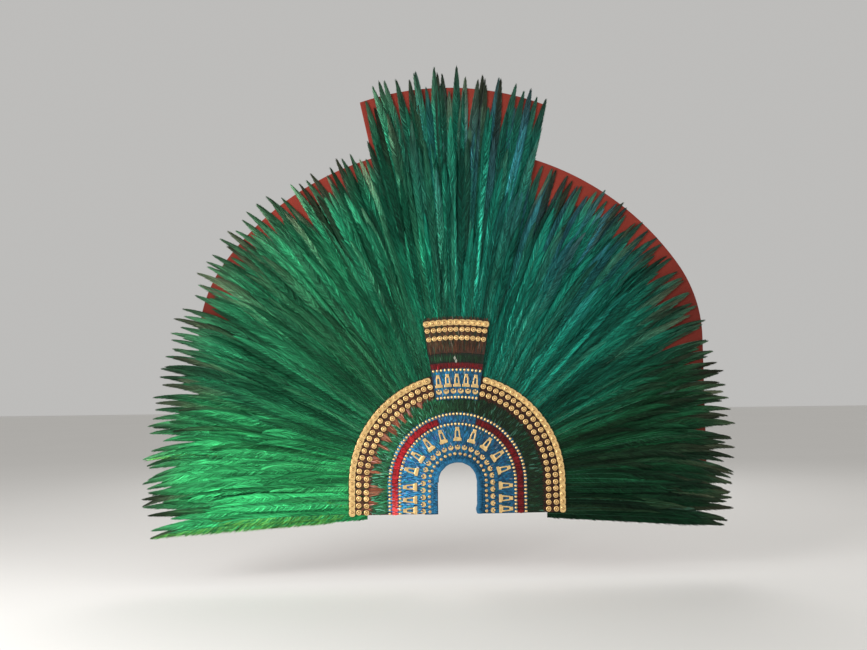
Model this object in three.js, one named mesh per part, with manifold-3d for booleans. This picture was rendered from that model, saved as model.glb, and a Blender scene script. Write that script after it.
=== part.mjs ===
// A feathered headdress shown flat on its backing board, in millimetres.
//
// Two tiers of long plumes, each in a left fan, a tall crest and a right fan, spread from an arch-shaped head
// opening. Over their roots lie rings of short feathers sewn with gold: a blue field with stepped plates and
// crescents, a red band between two rows of small gold domes, a green band, and a brown band with three rows
// of gold discs. A crown panel stands over the top of the arch.
//
// Everything is drawn as it is seen from the front: x to the right, y up, z towards the viewer. One turned
// group then stands the whole thing up, so that its front faces -Y and up is +Z.

import * as THREE from "three";
import { mergeVertices } from "three/addons/utils/BufferGeometryUtils.js";
import Module from "manifold-3d";

const wasm = await Module();
wasm.setup();

// The arch: a half circle on two straight legs that end on the base line, y = 0.
const ARCH_CENTRE_Y = 94;
const OPENING_R = 58;
const GAP = 0.3; // between pieces that touch
const ARCH_SEGMENTS = 18; // in the half circle of every ring
const WELD = 1e-3; // corners closer than this are one
const CUT_PAST = 5; // how far a cut runs past both edges of a ring

// Depths, from the board's back at z = 0 towards the viewer.
const BOARD_THICK = 12;
const TIER_SEAT_THICK = 5; // each tier of plumes, where the bands lie on it
const REAR_Z = BOARD_THICK + GAP;
const FRONT_Z = REAR_Z + TIER_SEAT_THICK + GAP;
const BAND_Z = FRONT_Z + TIER_SEAT_THICK + GAP;
const FIELD_THICK = 3.1;
const GREEN_THICK = 2.5;
const BROWN_THICK = 3.5;
const CROWN_THICK = 7;
const RED_THICK = 2;
const DISC_THICK = 1.8;
const PLATE_THICK = 1.5;
const ON_FIELD_Z = BAND_Z + FIELD_THICK + GAP;
const ON_BROWN_Z = BAND_Z + BROWN_THICK + GAP;
const ON_CROWN_Z = BAND_Z + CROWN_THICK + GAP;

// The board: a domed tab on a wide arc, rounded into straight sides.
const BOARD = {
  arcR: 848,
  arcCentreY: 268,
  cornerR: 400,
  cornerFromDeg: 35, // where the wide arc turns into the corner arc
  tabTopHalf: 286,
  tabTopY: 1252,
  tabFootHalf: 248,
  tabDomeR: 843,
  notchR: 62,
  segments: 8, // in each of its arcs
};

// How far plumes reach from the arch's centre, by direction: 0 is right, 90 up and 180 left.
const SIDE_REACH = [
  { deg: -9.5, reach: 850 },
  { deg: 0, reach: 858 },
  { deg: 12, reach: 878 },
  { deg: 24, reach: 888 },
  { deg: 36, reach: 903 },
  { deg: 48, reach: 945 },
  { deg: 62, reach: 990 },
  { deg: 76, reach: 990 },
  { deg: 107, reach: 1056 },
  { deg: 114, reach: 1030 },
  { deg: 124, reach: 1040 },
  { deg: 138, reach: 1002 },
  { deg: 148, reach: 972 },
  { deg: 158, reach: 943 },
  { deg: 170, reach: 930 },
  { deg: 188, reach: 932 },
];
const CREST_REACH = [
  { deg: 76, reach: 1222 },
  { deg: 80, reach: 1246 },
  { deg: 88, reach: 1278 },
  { deg: 94, reach: 1284 },
  { deg: 98, reach: 1262 },
  { deg: 102, reach: 1225 },
  { deg: 103.5, reach: 1045 },
  { deg: 107, reach: 1056 },
];
// The three spreads of plumes, from their left edge to their right edge.
const SPREADS = [
  { name: "left", from: 188, to: 107, table: SIDE_REACH, rear: 18, front: 17, seat: 342, belly: 600 },
  { name: "crest", from: 107, to: 76.5, table: CREST_REACH, rear: 9, front: 9, seat: 510, belly: 800 },
  { name: "right", from: 76.5, to: -9.5, table: SIDE_REACH, rear: 18, front: 17, seat: 342, belly: 600 },
];
const PLUME_ROOT_R = 100.3;
const STATIONS = { rear: ["root", "seat", "end"], front: ["root", "seat", "belly", "end"] };
const NOTCH_DEPTH = 92; // from a lock's tip back to the notch beside it
const TIP_STAGGER = [0, 20, 6, 28, 3, 14]; // how much shorter each lock in turn is
// Heights of a tier above its own back in the flat seat, in the belly and at the ends of the locks.
const TIERS = {
  rear: {
    z: REAR_Z,
    reach: 1,
    back: { end: 0 },
    valley: { end: 3 },
    ridge: { end: 6 },
    finish: { color: 0x0b5f43, roughness: 0.55, metalness: 0 },
  },
  front: {
    z: FRONT_Z,
    reach: 0.93,
    back: { belly: 1.5, end: 3 },
    valley: { belly: 9, end: 6 },
    ridge: { belly: 18, end: 9 },
    finish: { color: 0x127a55, roughness: 0.5, metalness: 0 },
  },
};

// Rings round the opening, by radius. The blue field turns down to the board inside the plumes' roots, and it
// swells into a rolled border beside the opening.
const FIELD_R = 208.5;
const TURN_DOWN_R = PLUME_ROOT_R - GAP;
const BORDER = { outer: 74, rise: 2.2 };
const GREEN_R = { inner: FIELD_R + GAP, outer: 261.7 };
const BROWN_R = { inner: GREEN_R.outer + GAP, outer: 324 };
const RED_R = { inner: 178, outer: 198 };
const KEYSTONE = { halfDeg: 16.8, segments: 6, roomSegments: 4 };

// Rows of small gold domes and crescents, each as a flattened cord: middle radius, width and height.
const DOME_ROWS = [
  { name: "dome_row_outer", r: 203.5, wide: 8, high: 3.2, steps: 16 },
  { name: "dome_row_middle", r: 172.5, wide: 8, high: 3.2, steps: 14 },
  { name: "crescent_row", r: 104, wide: 13, high: 2, steps: 10 },
  { name: "dome_row_inner", r: 85, wide: 7, high: 3, steps: 10 },
];

// Gold discs on the brown band, joined by their thread, and the lapped plates along its outer edge.
const DISC_SIDES = 10;
const DISC_R = 8.2;
const DISC_ROWS = [
  { name: "disc_row_middle", r: 295, count: 24 },
  { name: "disc_row_inner", r: 272.5, count: 23 },
];
const DISC_ROW_LOW_Y = 10; // the lowest disc's middle
const DISC_CLEAR = 2; // between a row's last disc and the crown panel
const DISC_STEP = 0.5; // the steps in which that last place is looked for
const EDGE_R = { inner: 305.5, outer: 323.5 };

// Stepped plates: half widths and heights of one plate, and where they stand on the field.
const PLATE = { baseHalf: 11.7, baseTop: -11.5, waistHalf: 9.3, neckHalf: 6.2, neckFrom: 13, half: 21 };
const PLATE_WINDOW = { lowHalf: 3.6, highHalf: 2.5, from: -6, to: 8 };
const PLATE_R = 143.5;
const PLATE_DEGS = [0, 19, 38, 57, 75]; // from the top, on either side
const PLATE_LEG_YS = [82.3, 44.3, 13.3];

// The crown panel is a sector about a point below the base line.
const CROWN = {
  centreY: -67,
  halfDeg: 8.9,
  top: 652,
  brownFrom: 547,
  greenFrom: 519,
  redFrom: 500,
  bottom: 409,
};
const CROWN_EDGE = { inner: 628.5, outer: 650 };
const CROWN_DISC_R = 7.6;
const CROWN_DISC_ROWS = [
  { name: "crown_disc_row_upper", r: 618.5 },
  { name: "crown_disc_row_lower", r: 593 },
];
const CROWN_DISCS = 11;
const CROWN_DISC_CLEAR = 1.5; // between a row's end discs and the panel's sides
const CROWN_CORDS = [
  { name: "crown_dome_row_upper", r: 495.5, wide: 8, high: 3.2 },
  { name: "crown_crescent_row", r: 433, wide: 14, high: 2 },
  { name: "crown_dome_row_lower", r: 414.5, wide: 8, high: 3.2 },
];
const CROWN_CORD_MARGIN_DEG = 0.7;
const CROWN_SEGMENTS = 4; // in the curve of every strip of the crown
const CROWN_PLATES = 5;
const CROWN_PLATE_R = 465;
const CROWN_PLATE_PITCH_DEG = 3.45;
const CROWN_PLATE_SCALE = 0.92;

const FINISH = {
  board: { color: 0x8e2b24, roughness: 0.95, metalness: 0 },
  green: { color: 0x1c5b3c, roughness: 0.7, metalness: 0 },
  brown: { color: 0x5a2a1a, roughness: 0.85, metalness: 0 },
  red: { color: 0xa5121d, roughness: 0.75, metalness: 0 },
  blue: { color: 0x2f7fb5, roughness: 0.7, metalness: 0 },
  gold: { color: 0xd9a550, roughness: 0.35, metalness: 1 },
};

const radians = THREE.MathUtils.degToRad;

function solidOf(geometry) {
  const bare = new THREE.BufferGeometry();
  bare.setAttribute("position", geometry.getAttribute("position"));
  const merged = mergeVertices(bare, WELD);
  const mesh = new wasm.Mesh({
    numProp: 3,
    vertProperties: merged.attributes.position.array,
    triVerts: new Uint32Array(merged.index.array),
  });
  return new wasm.Manifold(mesh);
}

function geometryOf(solid) {
  const mesh = solid.getMesh();
  const position = new THREE.BufferAttribute(mesh.vertProperties, mesh.numProp);
  return new THREE.BufferGeometry()
    .setAttribute("position", position)
    .setIndex(new THREE.BufferAttribute(mesh.triVerts, 1));
}

function slab(shape, thick, curveSegments = ARCH_SEGMENTS) {
  return new THREE.ExtrudeGeometry(shape, { depth: thick, bevelEnabled: false, curveSegments });
}

// One named piece, its back at height z.
function piece(name, geometry, finish, z = 0) {
  const mesh = new THREE.Mesh(geometry, new THREE.MeshStandardMaterial(finish));
  mesh.name = name;
  mesh.position.z = z;
  return mesh;
}

// A ring of the arch, legs included.
function archShape(inner, outer) {
  const shape = new THREE.Shape();
  shape.moveTo(outer, 0).lineTo(outer, ARCH_CENTRE_Y);
  shape.absarc(0, ARCH_CENTRE_Y, outer, 0, Math.PI, false);
  shape.lineTo(-outer, 0).lineTo(-inner, 0).lineTo(-inner, ARCH_CENTRE_Y);
  shape.absarc(0, ARCH_CENTRE_Y, inner, Math.PI, 0, true);
  shape.lineTo(inner, 0);
  return shape;
}

// A piece of ring about (0, centreY), to either side of straight up.
function sectorShape(inner, outer, halfAngle, centreY) {
  const shape = new THREE.Shape();
  shape.absarc(0, centreY, outer, Math.PI / 2 - halfAngle, Math.PI / 2 + halfAngle, false);
  shape.absarc(0, centreY, inner, Math.PI / 2 + halfAngle, Math.PI / 2 - halfAngle, true);
  return shape;
}

// The point at a distance along a ring of the arch from the foot of its right leg, and the way it runs there.
function onArch(r, distance) {
  const turned = Math.max(0, (distance - ARCH_CENTRE_Y) / r);
  return {
    x: r * Math.cos(turned),
    y: Math.min(distance, ARCH_CENTRE_Y) + r * Math.sin(turned),
    heading: Math.PI / 2 + turned,
  };
}

function backingBoard() {
  const corner = radians(BOARD.cornerFromDeg);
  const cornerX = (BOARD.arcR - BOARD.cornerR) * Math.cos(corner);
  const cornerY = BOARD.arcCentreY + (BOARD.arcR - BOARD.cornerR) * Math.sin(corner);
  const sideX = cornerX + BOARD.cornerR;
  const foot = Math.acos(BOARD.tabFootHalf / BOARD.arcR);
  const domeCentreY = BOARD.tabTopY - Math.sqrt(BOARD.tabDomeR ** 2 - BOARD.tabTopHalf ** 2);
  const domeFrom = Math.acos(BOARD.tabTopHalf / BOARD.tabDomeR);
  const shape = new THREE.Shape();
  shape.moveTo(sideX, 0).lineTo(sideX, cornerY);
  shape.absarc(cornerX, cornerY, BOARD.cornerR, 0, corner, false);
  shape.absarc(0, BOARD.arcCentreY, BOARD.arcR, corner, foot, false);
  shape.absarc(0, domeCentreY, BOARD.tabDomeR, domeFrom, Math.PI - domeFrom, false);
  shape.absarc(0, BOARD.arcCentreY, BOARD.arcR, Math.PI - foot, Math.PI - corner, false);
  shape.absarc(-cornerX, cornerY, BOARD.cornerR, Math.PI - corner, Math.PI, false);
  shape.lineTo(-sideX, 0).lineTo(-BOARD.notchR, 0).lineTo(-BOARD.notchR, ARCH_CENTRE_Y);
  shape.absarc(0, ARCH_CENTRE_Y, BOARD.notchR, Math.PI, 0, true);
  shape.lineTo(BOARD.notchR, 0);
  return piece("backing_board", slab(shape, BOARD_THICK, BOARD.segments), FINISH.board);
}

function reachAt(table, deg) {
  const next = Math.max(1, table.findIndex((row) => row.deg >= deg));
  const [low, high] = [table[next - 1], table[next]];
  return THREE.MathUtils.mapLinear(deg, low.deg, high.deg, low.reach, high.reach);
}

// Where a plume of that direction starts: on the half circle, or down the leg if it points below level.
function plumeRoot(deg) {
  const lowest = deg < 0 ? SPREADS[2].to : SPREADS[0].from - 180;
  const past = deg < 0 ? deg / lowest : Math.max(0, (deg - 180) / lowest);
  const angle = radians(THREE.MathUtils.clamp(deg, 0, 180));
  return new THREE.Vector2(
    PLUME_ROOT_R * Math.cos(angle),
    ARCH_CENTRE_Y * (1 - past) + PLUME_ROOT_R * Math.sin(angle),
  );
}

// One spread of one tier: a slab whose front is folded into a ridge along each lock and whose rim is cut into
// tips. A box with two columns for each lock is bent into the fan.
function plumeSpread(spread, tierName) {
  const tier = TIERS[tierName];
  const locks = spread[tierName];
  const columns = 2 * locks;
  const stations = STATIONS[tierName];
  const bands = stations.length - 1;
  const geometry = new THREE.BoxGeometry(columns, bands, 1, columns, bands, 1);
  const position = geometry.getAttribute("position");
  for (let i = 0; i < position.count; i++) {
    const column = Math.round(position.getX(i) + columns / 2);
    const station = stations[Math.round(position.getY(i) + bands / 2)];
    const onFront = position.getZ(i) > 0;
    const deg = THREE.MathUtils.mapLinear(column, 0, columns, spread.from, spread.to);
    const isRidge = column % 2 === 1;
    const stagger = TIP_STAGGER[(column >> 1) % TIP_STAGGER.length];
    const reach = reachAt(spread.table, deg) * tier.reach - (isRidge ? stagger : NOTCH_DEPTH);
    const radius = { root: PLUME_ROOT_R, seat: spread.seat, belly: spread.belly, end: reach }[station];
    const surface = onFront ? (isRidge ? tier.ridge : tier.valley) : tier.back;
    const height = surface[station] ?? (onFront ? TIER_SEAT_THICK : 0);
    const angle = radians(deg);
    const root = plumeRoot(deg);
    const tip = new THREE.Vector2(reach * Math.cos(angle), ARCH_CENTRE_Y + reach * Math.sin(angle));
    const place = root.clone().lerp(tip, (radius - PLUME_ROOT_R) / (reach - PLUME_ROOT_R));
    if (column === 0 || column === columns) {
      const along = tip.sub(root).normalize();
      const inward = column === 0 ? GAP / 2 : -GAP / 2;
      place.add(new THREE.Vector2(along.y, -along.x).multiplyScalar(inward));
    }
    position.setXYZ(i, place.x, place.y, height);
  }
  return piece(tierName + "_plumes_" + spread.name, geometry, tier.finish, tier.z);
}

function crownShape(inner, outer) {
  return sectorShape(inner, outer, radians(CROWN.halfDeg), CROWN.centreY);
}

function blueField() {
  const ring = (outer, low, high) => {
    const shape = archShape(OPENING_R, outer);
    return solidOf(slab(shape, high - low).translate(0, 0, low));
  };
  const top = BAND_Z + FIELD_THICK;
  const field = ring(FIELD_R, BAND_Z, top)
    .add(ring(TURN_DOWN_R, REAR_Z, top))
    .add(ring(BORDER.outer, REAR_Z, top + BORDER.rise));
  return piece("blue_field", geometryOf(field), FINISH.blue);
}

// The room that the crown panel takes out of the rings under it.
function crownRoom() {
  const halfAngle = radians(CROWN.halfDeg) + GAP / CROWN.bottom;
  const shape = sectorShape(CROWN.bottom - GAP, CROWN.top, halfAngle, CROWN.centreY);
  return solidOf(slab(shape, 2 * CROWN_THICK, CROWN_SEGMENTS).translate(0, 0, -CROWN_THICK / 2));
}

// A ring of the arch that stops at the crown panel, in one piece or in a left and a right one.
function ringRoundCrown(name, radii, thick, finish, z) {
  const sides = solidOf(slab(archShape(radii.inner, radii.outer), thick)).subtract(crownRoom()).decompose();
  if (sides.length === 1) return [piece(name, geometryOf(sides[0]), finish, z)];
  return sides.map((side) => {
    const middle = side.boundingBox().min[0] + side.boundingBox().max[0];
    return piece(name + (middle < 0 ? "_left" : "_right"), geometryOf(side), finish, z);
  });
}

function redBands() {
  const ring = solidOf(slab(archShape(RED_R.inner, RED_R.outer), RED_THICK));
  const half = radians(KEYSTONE.halfDeg);
  const roomHalf = half + GAP / RED_R.inner;
  const room = sectorShape(RED_R.inner - CUT_PAST, RED_R.outer + CUT_PAST, roomHalf, ARCH_CENTRE_Y);
  const roomSlab = slab(room, 2 * RED_THICK, KEYSTONE.roomSegments);
  const roomSolid = solidOf(roomSlab.translate(0, 0, -RED_THICK / 2));
  const sides = ring.subtract(roomSolid).decompose();
  const keystone = sectorShape(RED_R.inner, RED_R.outer, half, ARCH_CENTRE_Y);
  return [
    ...sides.map((side) => {
      const name = side.boundingBox().min[0] < 0 ? "red_band_left" : "red_band_right";
      return piece(name, geometryOf(side), FINISH.red, ON_FIELD_Z);
    }),
    piece("blue_keystone", slab(keystone, RED_THICK, KEYSTONE.segments), FINISH.blue, ON_FIELD_Z),
  ];
}

// A flattened cord with eight sides that lies on z = 0 and follows a line of points, closed at both ends.
function sweptCord(points, wide, high) {
  const sides = 8;
  const geometry = new THREE.CylinderGeometry(1, 1, points.length - 1, sides, points.length - 1, false);
  const position = geometry.getAttribute("position");
  for (let i = 0; i < position.count; i++) {
    const step = Math.round(position.getY(i) + (points.length - 1) / 2);
    const before = points[Math.max(0, step - 1)];
    const after = points[Math.min(points.length - 1, step + 1)];
    const along = after.clone().sub(before).normalize();
    const across = new THREE.Vector2(along.y, -along.x);
    const side = (position.getX(i) * wide) / 2;
    const up = (position.getZ(i) * high) / 2;
    const place = points[step].clone().addScaledVector(across, side);
    position.setXYZ(i, place.x, place.y, high / 2 + up);
  }
  return geometry;
}

function domeRow({ name, r, wide, high, steps }) {
  const foot = new THREE.Vector2(r, wide / 2);
  const arch = Array.from({ length: steps + 1 }, (_, i) => {
    const angle = (Math.PI * i) / steps;
    return new THREE.Vector2(r * Math.cos(angle), ARCH_CENTRE_Y + r * Math.sin(angle));
  });
  const points = [foot, ...arch, new THREE.Vector2(-r, wide / 2)];
  return piece(name, sweptCord(points, wide, high), FINISH.gold, ON_FIELD_Z);
}

function crownCord({ name, r, wide, high }) {
  const half = radians(CROWN.halfDeg - CROWN_CORD_MARGIN_DEG);
  const points = Array.from({ length: CROWN_SEGMENTS + 1 }, (_, i) => {
    const angle = Math.PI / 2 - half + (2 * half * i) / CROWN_SEGMENTS;
    return new THREE.Vector2(r * Math.cos(angle), CROWN.centreY + r * Math.sin(angle));
  });
  return piece(name, sweptCord(points, wide, high), FINISH.gold, ON_CROWN_Z);
}

// Discs in a row, joined by their thread: each disc turns a flat side to its neighbours.
function discString(places, radius) {
  const half = DISC_SIDES / 2;
  const corner = (place, k) => {
    const angle = place.heading + ((k + 0.5) * Math.PI) / half;
    return new THREE.Vector2(place.x + radius * Math.cos(angle), place.y + radius * Math.sin(angle));
  };
  const outline = [];
  const addCorners = (from, to) => (place) => {
    for (let k = from; k < to; k++) outline.push(corner(place, k));
  };
  [...places].reverse().forEach(addCorners(0, half));
  places.forEach(addCorners(half, DISC_SIDES));
  return slab(new THREE.Shape(outline), DISC_THICK);
}

// The same place on the other leg, for a row that is told from its top down.
function mirrored(place) {
  return { x: -place.x, y: place.y, heading: -place.heading };
}

function discRows() {
  return DISC_ROWS.flatMap(({ name, r, count }) => {
    // The last disc stops clear of the crown panel's slanting side.
    const room = DISC_R + DISC_CLEAR;
    let last = ARCH_CENTRE_Y + (Math.PI / 2) * r;
    const clear = (distance) => {
      const place = onArch(r, distance);
      const edge = (place.y - CROWN.centreY) * Math.tan(radians(CROWN.halfDeg));
      return place.x > edge + room;
    };
    while (!clear(last)) last -= DISC_STEP;
    const places = Array.from({ length: count }, (_, i) =>
      onArch(r, THREE.MathUtils.lerp(DISC_ROW_LOW_Y, last, i / (count - 1))),
    );
    return [
      piece(name + "_right", discString(places, DISC_R), FINISH.gold, ON_BROWN_Z),
      piece(name + "_left", discString(places.map(mirrored).reverse(), DISC_R), FINISH.gold, ON_BROWN_Z),
    ];
  });
}

function crownDiscRow({ name, r }) {
  const half = radians(CROWN.halfDeg) - (CROWN_DISC_R + CROWN_DISC_CLEAR) / r;
  const places = Array.from({ length: CROWN_DISCS }, (_, i) => {
    const angle = Math.PI / 2 - half + (2 * half * i) / (CROWN_DISCS - 1);
    return { x: r * Math.cos(angle), y: CROWN.centreY + r * Math.sin(angle), heading: angle + Math.PI / 2 };
  });
  return piece(name, discString(places, CROWN_DISC_R), FINISH.gold, ON_CROWN_Z);
}

function plateShape(scale) {
  const { baseHalf, baseTop, waistHalf, neckHalf, neckFrom, half } = PLATE;
  const side = [
    [baseHalf, -half],
    [baseHalf, baseTop],
    [waistHalf, baseTop],
    [neckHalf, neckFrom],
    [neckHalf, half],
  ];
  const outline = [...side, ...side.map(([x, y]) => [-x, y]).reverse()];
  const point = ([x, y]) => new THREE.Vector2(x * scale, y * scale);
  const { lowHalf, highHalf, from, to } = PLATE_WINDOW;
  const window = [
    [-lowHalf, from],
    [-highHalf, to],
    [highHalf, to],
    [lowHalf, from],
  ];
  const shape = new THREE.Shape(outline.map(point));
  shape.holes.push(new THREE.Path(window.map(point)));
  return shape;
}

// A stepped plate with its base towards the opening, its neck pointing along an angle.
function steppedPlate(name, x, y, angle, z, scale = 1) {
  const mesh = piece(name, slab(plateShape(scale), PLATE_THICK), FINISH.gold, z);
  mesh.position.set(x, y, z);
  mesh.rotation.z = angle - Math.PI / 2;
  return mesh;
}

function archPlates() {
  const plates = [];
  const add = (side, x, y, angle) =>
    plates.push(steppedPlate("stepped_plate_" + side, x, y, angle, ON_FIELD_Z));
  PLATE_DEGS.forEach((deg, i) => {
    for (const sign of deg === 0 ? [1] : [1, -1]) {
      const angle = radians(90 - sign * deg);
      const side = deg === 0 ? "top" : (sign > 0 ? "right_" : "left_") + i;
      add(side, PLATE_R * Math.cos(angle), ARCH_CENTRE_Y + PLATE_R * Math.sin(angle), angle);
    }
  });
  PLATE_LEG_YS.forEach((y, i) => {
    const number = PLATE_DEGS.length + i;
    add("right_" + number, PLATE_R, y, 0);
    add("left_" + number, -PLATE_R, y, Math.PI);
  });
  return plates;
}

function crownPlates() {
  return Array.from({ length: CROWN_PLATES }, (_, i) => {
    const angle = radians(90 - (i - (CROWN_PLATES - 1) / 2) * CROWN_PLATE_PITCH_DEG);
    const x = CROWN_PLATE_R * Math.cos(angle);
    const y = CROWN.centreY + CROWN_PLATE_R * Math.sin(angle);
    return steppedPlate("crown_plate_" + (i + 1), x, y, angle, ON_CROWN_Z, CROWN_PLATE_SCALE);
  });
}

function crownEdge() {
  const shape = crownShape(CROWN_EDGE.inner, CROWN_EDGE.outer);
  return piece("crown_edge_plates", slab(shape, DISC_THICK, CROWN_SEGMENTS), FINISH.gold, ON_CROWN_Z);
}

function crown() {
  const strip = (name, inner, outer, finish) =>
    piece(name, slab(crownShape(inner, outer), CROWN_THICK, CROWN_SEGMENTS), finish, BAND_Z);
  return [
    strip("crown_brown_field", CROWN.brownFrom + GAP, CROWN.top, FINISH.brown),
    strip("crown_green_band", CROWN.greenFrom + GAP, CROWN.brownFrom, FINISH.green),
    strip("crown_red_band", CROWN.redFrom + GAP, CROWN.greenFrom, FINISH.red),
    strip("crown_blue_field", CROWN.bottom, CROWN.redFrom, FINISH.blue),
    crownEdge(),
    ...CROWN_DISC_ROWS.map(crownDiscRow),
    ...CROWN_CORDS.map(crownCord),
    ...crownPlates(),
  ];
}

const headdress = new THREE.Group();
headdress.rotation.x = Math.PI / 2;
headdress.add(
  backingBoard(),
  ...SPREADS.flatMap((spread) => [plumeSpread(spread, "rear"), plumeSpread(spread, "front")]),
  blueField(),
  ...ringRoundCrown("green_band", GREEN_R, GREEN_THICK, FINISH.green, BAND_Z),
  ...ringRoundCrown("brown_band", BROWN_R, BROWN_THICK, FINISH.brown, BAND_Z),
  ...ringRoundCrown("edge_plates", EDGE_R, DISC_THICK, FINISH.gold, ON_BROWN_Z),
  ...redBands(),
  ...DOME_ROWS.map(domeRow),
  ...discRows(),
  ...archPlates(),
  ...crown(),
);

export default headdress;
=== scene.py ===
"""Dresses a packed feathered headdress: long plumes, bands of short feathers, gold and a covered board.

Pieces are modelled on a sheet, as they are seen from the front, with x to the right, y up and z towards the
viewer. STAND_UP then turns the sheet into the row frame, where the front faces -Y and up is +Z.
"""

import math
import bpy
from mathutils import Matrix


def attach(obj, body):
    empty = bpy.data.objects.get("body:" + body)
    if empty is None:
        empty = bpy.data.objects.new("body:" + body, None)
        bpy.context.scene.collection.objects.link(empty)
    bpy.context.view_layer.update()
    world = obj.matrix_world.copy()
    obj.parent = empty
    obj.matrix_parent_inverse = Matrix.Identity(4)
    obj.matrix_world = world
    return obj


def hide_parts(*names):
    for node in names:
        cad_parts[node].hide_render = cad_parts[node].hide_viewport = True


bl_info = {
    "name": "Feathered Headdress",
    "version": (1, 0, 0),
    "blender": (4, 5, 0),
    "location": "3D View > Sidebar > Headdress",
    "description": "Builds a plumed headdress with its feather bands, gold and backing board",
    "category": "Object",
}

import bmesh
import bpy
import numpy as np
from bpy.props import FloatProperty, FloatVectorProperty, PointerProperty
from mathutils import Matrix, Vector, noise

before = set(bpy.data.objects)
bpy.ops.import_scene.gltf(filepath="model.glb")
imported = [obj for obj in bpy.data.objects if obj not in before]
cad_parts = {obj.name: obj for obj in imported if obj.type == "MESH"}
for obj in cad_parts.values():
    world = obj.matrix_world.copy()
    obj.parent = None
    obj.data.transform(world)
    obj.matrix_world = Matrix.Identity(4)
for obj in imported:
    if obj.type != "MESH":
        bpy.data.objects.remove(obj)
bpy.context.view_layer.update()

MM = 0.001
STAND_UP = Matrix.Rotation(math.pi / 2, 4, "X")
SEED = 1519

# The arch: a half circle on two straight legs that end on the base line, y = 0.
ARCH_Y = 0.094
OPENING_R = 0.058
BOARD_FRONT = 0.012
REAR_Z = 0.0123
BAND_Z = 0.0229

# How far plumes reach from the arch's centre, by direction: 0 is right, 90 up and 180 left.
SIDE_REACH = [
    (-9.5, 0.850), (0, 0.858), (12, 0.878), (24, 0.892), (36, 0.915), (48, 0.962), (62, 1.008), (76, 1.008),
    (107, 1.056), (114, 1.030), (124, 1.040), (138, 1.002), (148, 0.972), (158, 0.943), (170, 0.930),
    (188, 0.932),
]
CREST_REACH = [
    (76, 1.222), (80, 1.246), (88, 1.278), (94, 1.284), (98, 1.262), (102, 1.225), (103.5, 1.045),
    (107, 1.056),
]
SPREADS = [
    {"name": "left", "from": 107.0, "to": 188.0, "table": SIDE_REACH, "closer": 1.0},
    {"name": "crest", "from": 76.5, "to": 107.0, "table": CREST_REACH, "closer": 0.82},
    {"name": "right", "from": -9.5, "to": 76.5, "table": SIDE_REACH, "closer": 0.95},
]
# Layers of plumes, rear to front: how much closer than the pitch they stand, the share of the full reach,
# and the height over the board's back at the seat, in the belly and at the tip.
LAYERS = [
    {"tier": "rear", "closer": 0.72, "short": 0.970, "long": 1.00,
     "seat": 0.0150, "belly": 0.0168, "tip": 0.0165},
    {"tier": "rear", "closer": 0.85, "short": 0.900, "long": 0.97,
     "seat": 0.0160, "belly": 0.0190, "tip": 0.0180},
    {"tier": "front", "closer": 1.0, "short": 0.780, "long": 0.92,
     "seat": 0.0190, "belly": 0.0245, "tip": 0.0215},
    {"tier": "front", "closer": 1.05, "short": 0.620, "long": 0.82,
     "seat": 0.0200, "belly": 0.0285, "tip": 0.0250},
    {"tier": "front", "closer": 1.1, "short": 0.440, "long": 0.66,
     "seat": 0.0208, "belly": 0.0310, "tip": 0.0280},
]
LOWEST_LEFT, LOWEST_RIGHT = 188.0, -9.5
ROOTS_R = 0.1003
# The lit plume and the extra barbs under the lowest left plume take the lit fringe colour: partly their own
# yellow green, partly painted highlight.
LIT_PLUME = {"deg": 172.4, "reach": 0.925, "slim": 0.45}  # one narrow plume that shines yellow green

# The crown panel is a sector about a point below the base line.
CROWN_Y = -0.067
CROWN_HALF = math.radians(8.9)
CROWN_FROM_Y = 0.34  # about where its foot is


def frange(low, high, steps):
    return [low + (high - low) * i / steps for i in range(steps + 1)]


# Settings


def colour_setting(name, default, description):
    return FloatVectorProperty(
        name=name, description=description, default=default, size=3, min=0, max=1, subtype="COLOR")


def length_setting(name, default, limits, description):
    low, high = limits
    return FloatProperty(
        name=name, description=description, default=default, min=low, max=high, unit="LENGTH",
        subtype="DISTANCE")


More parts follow.
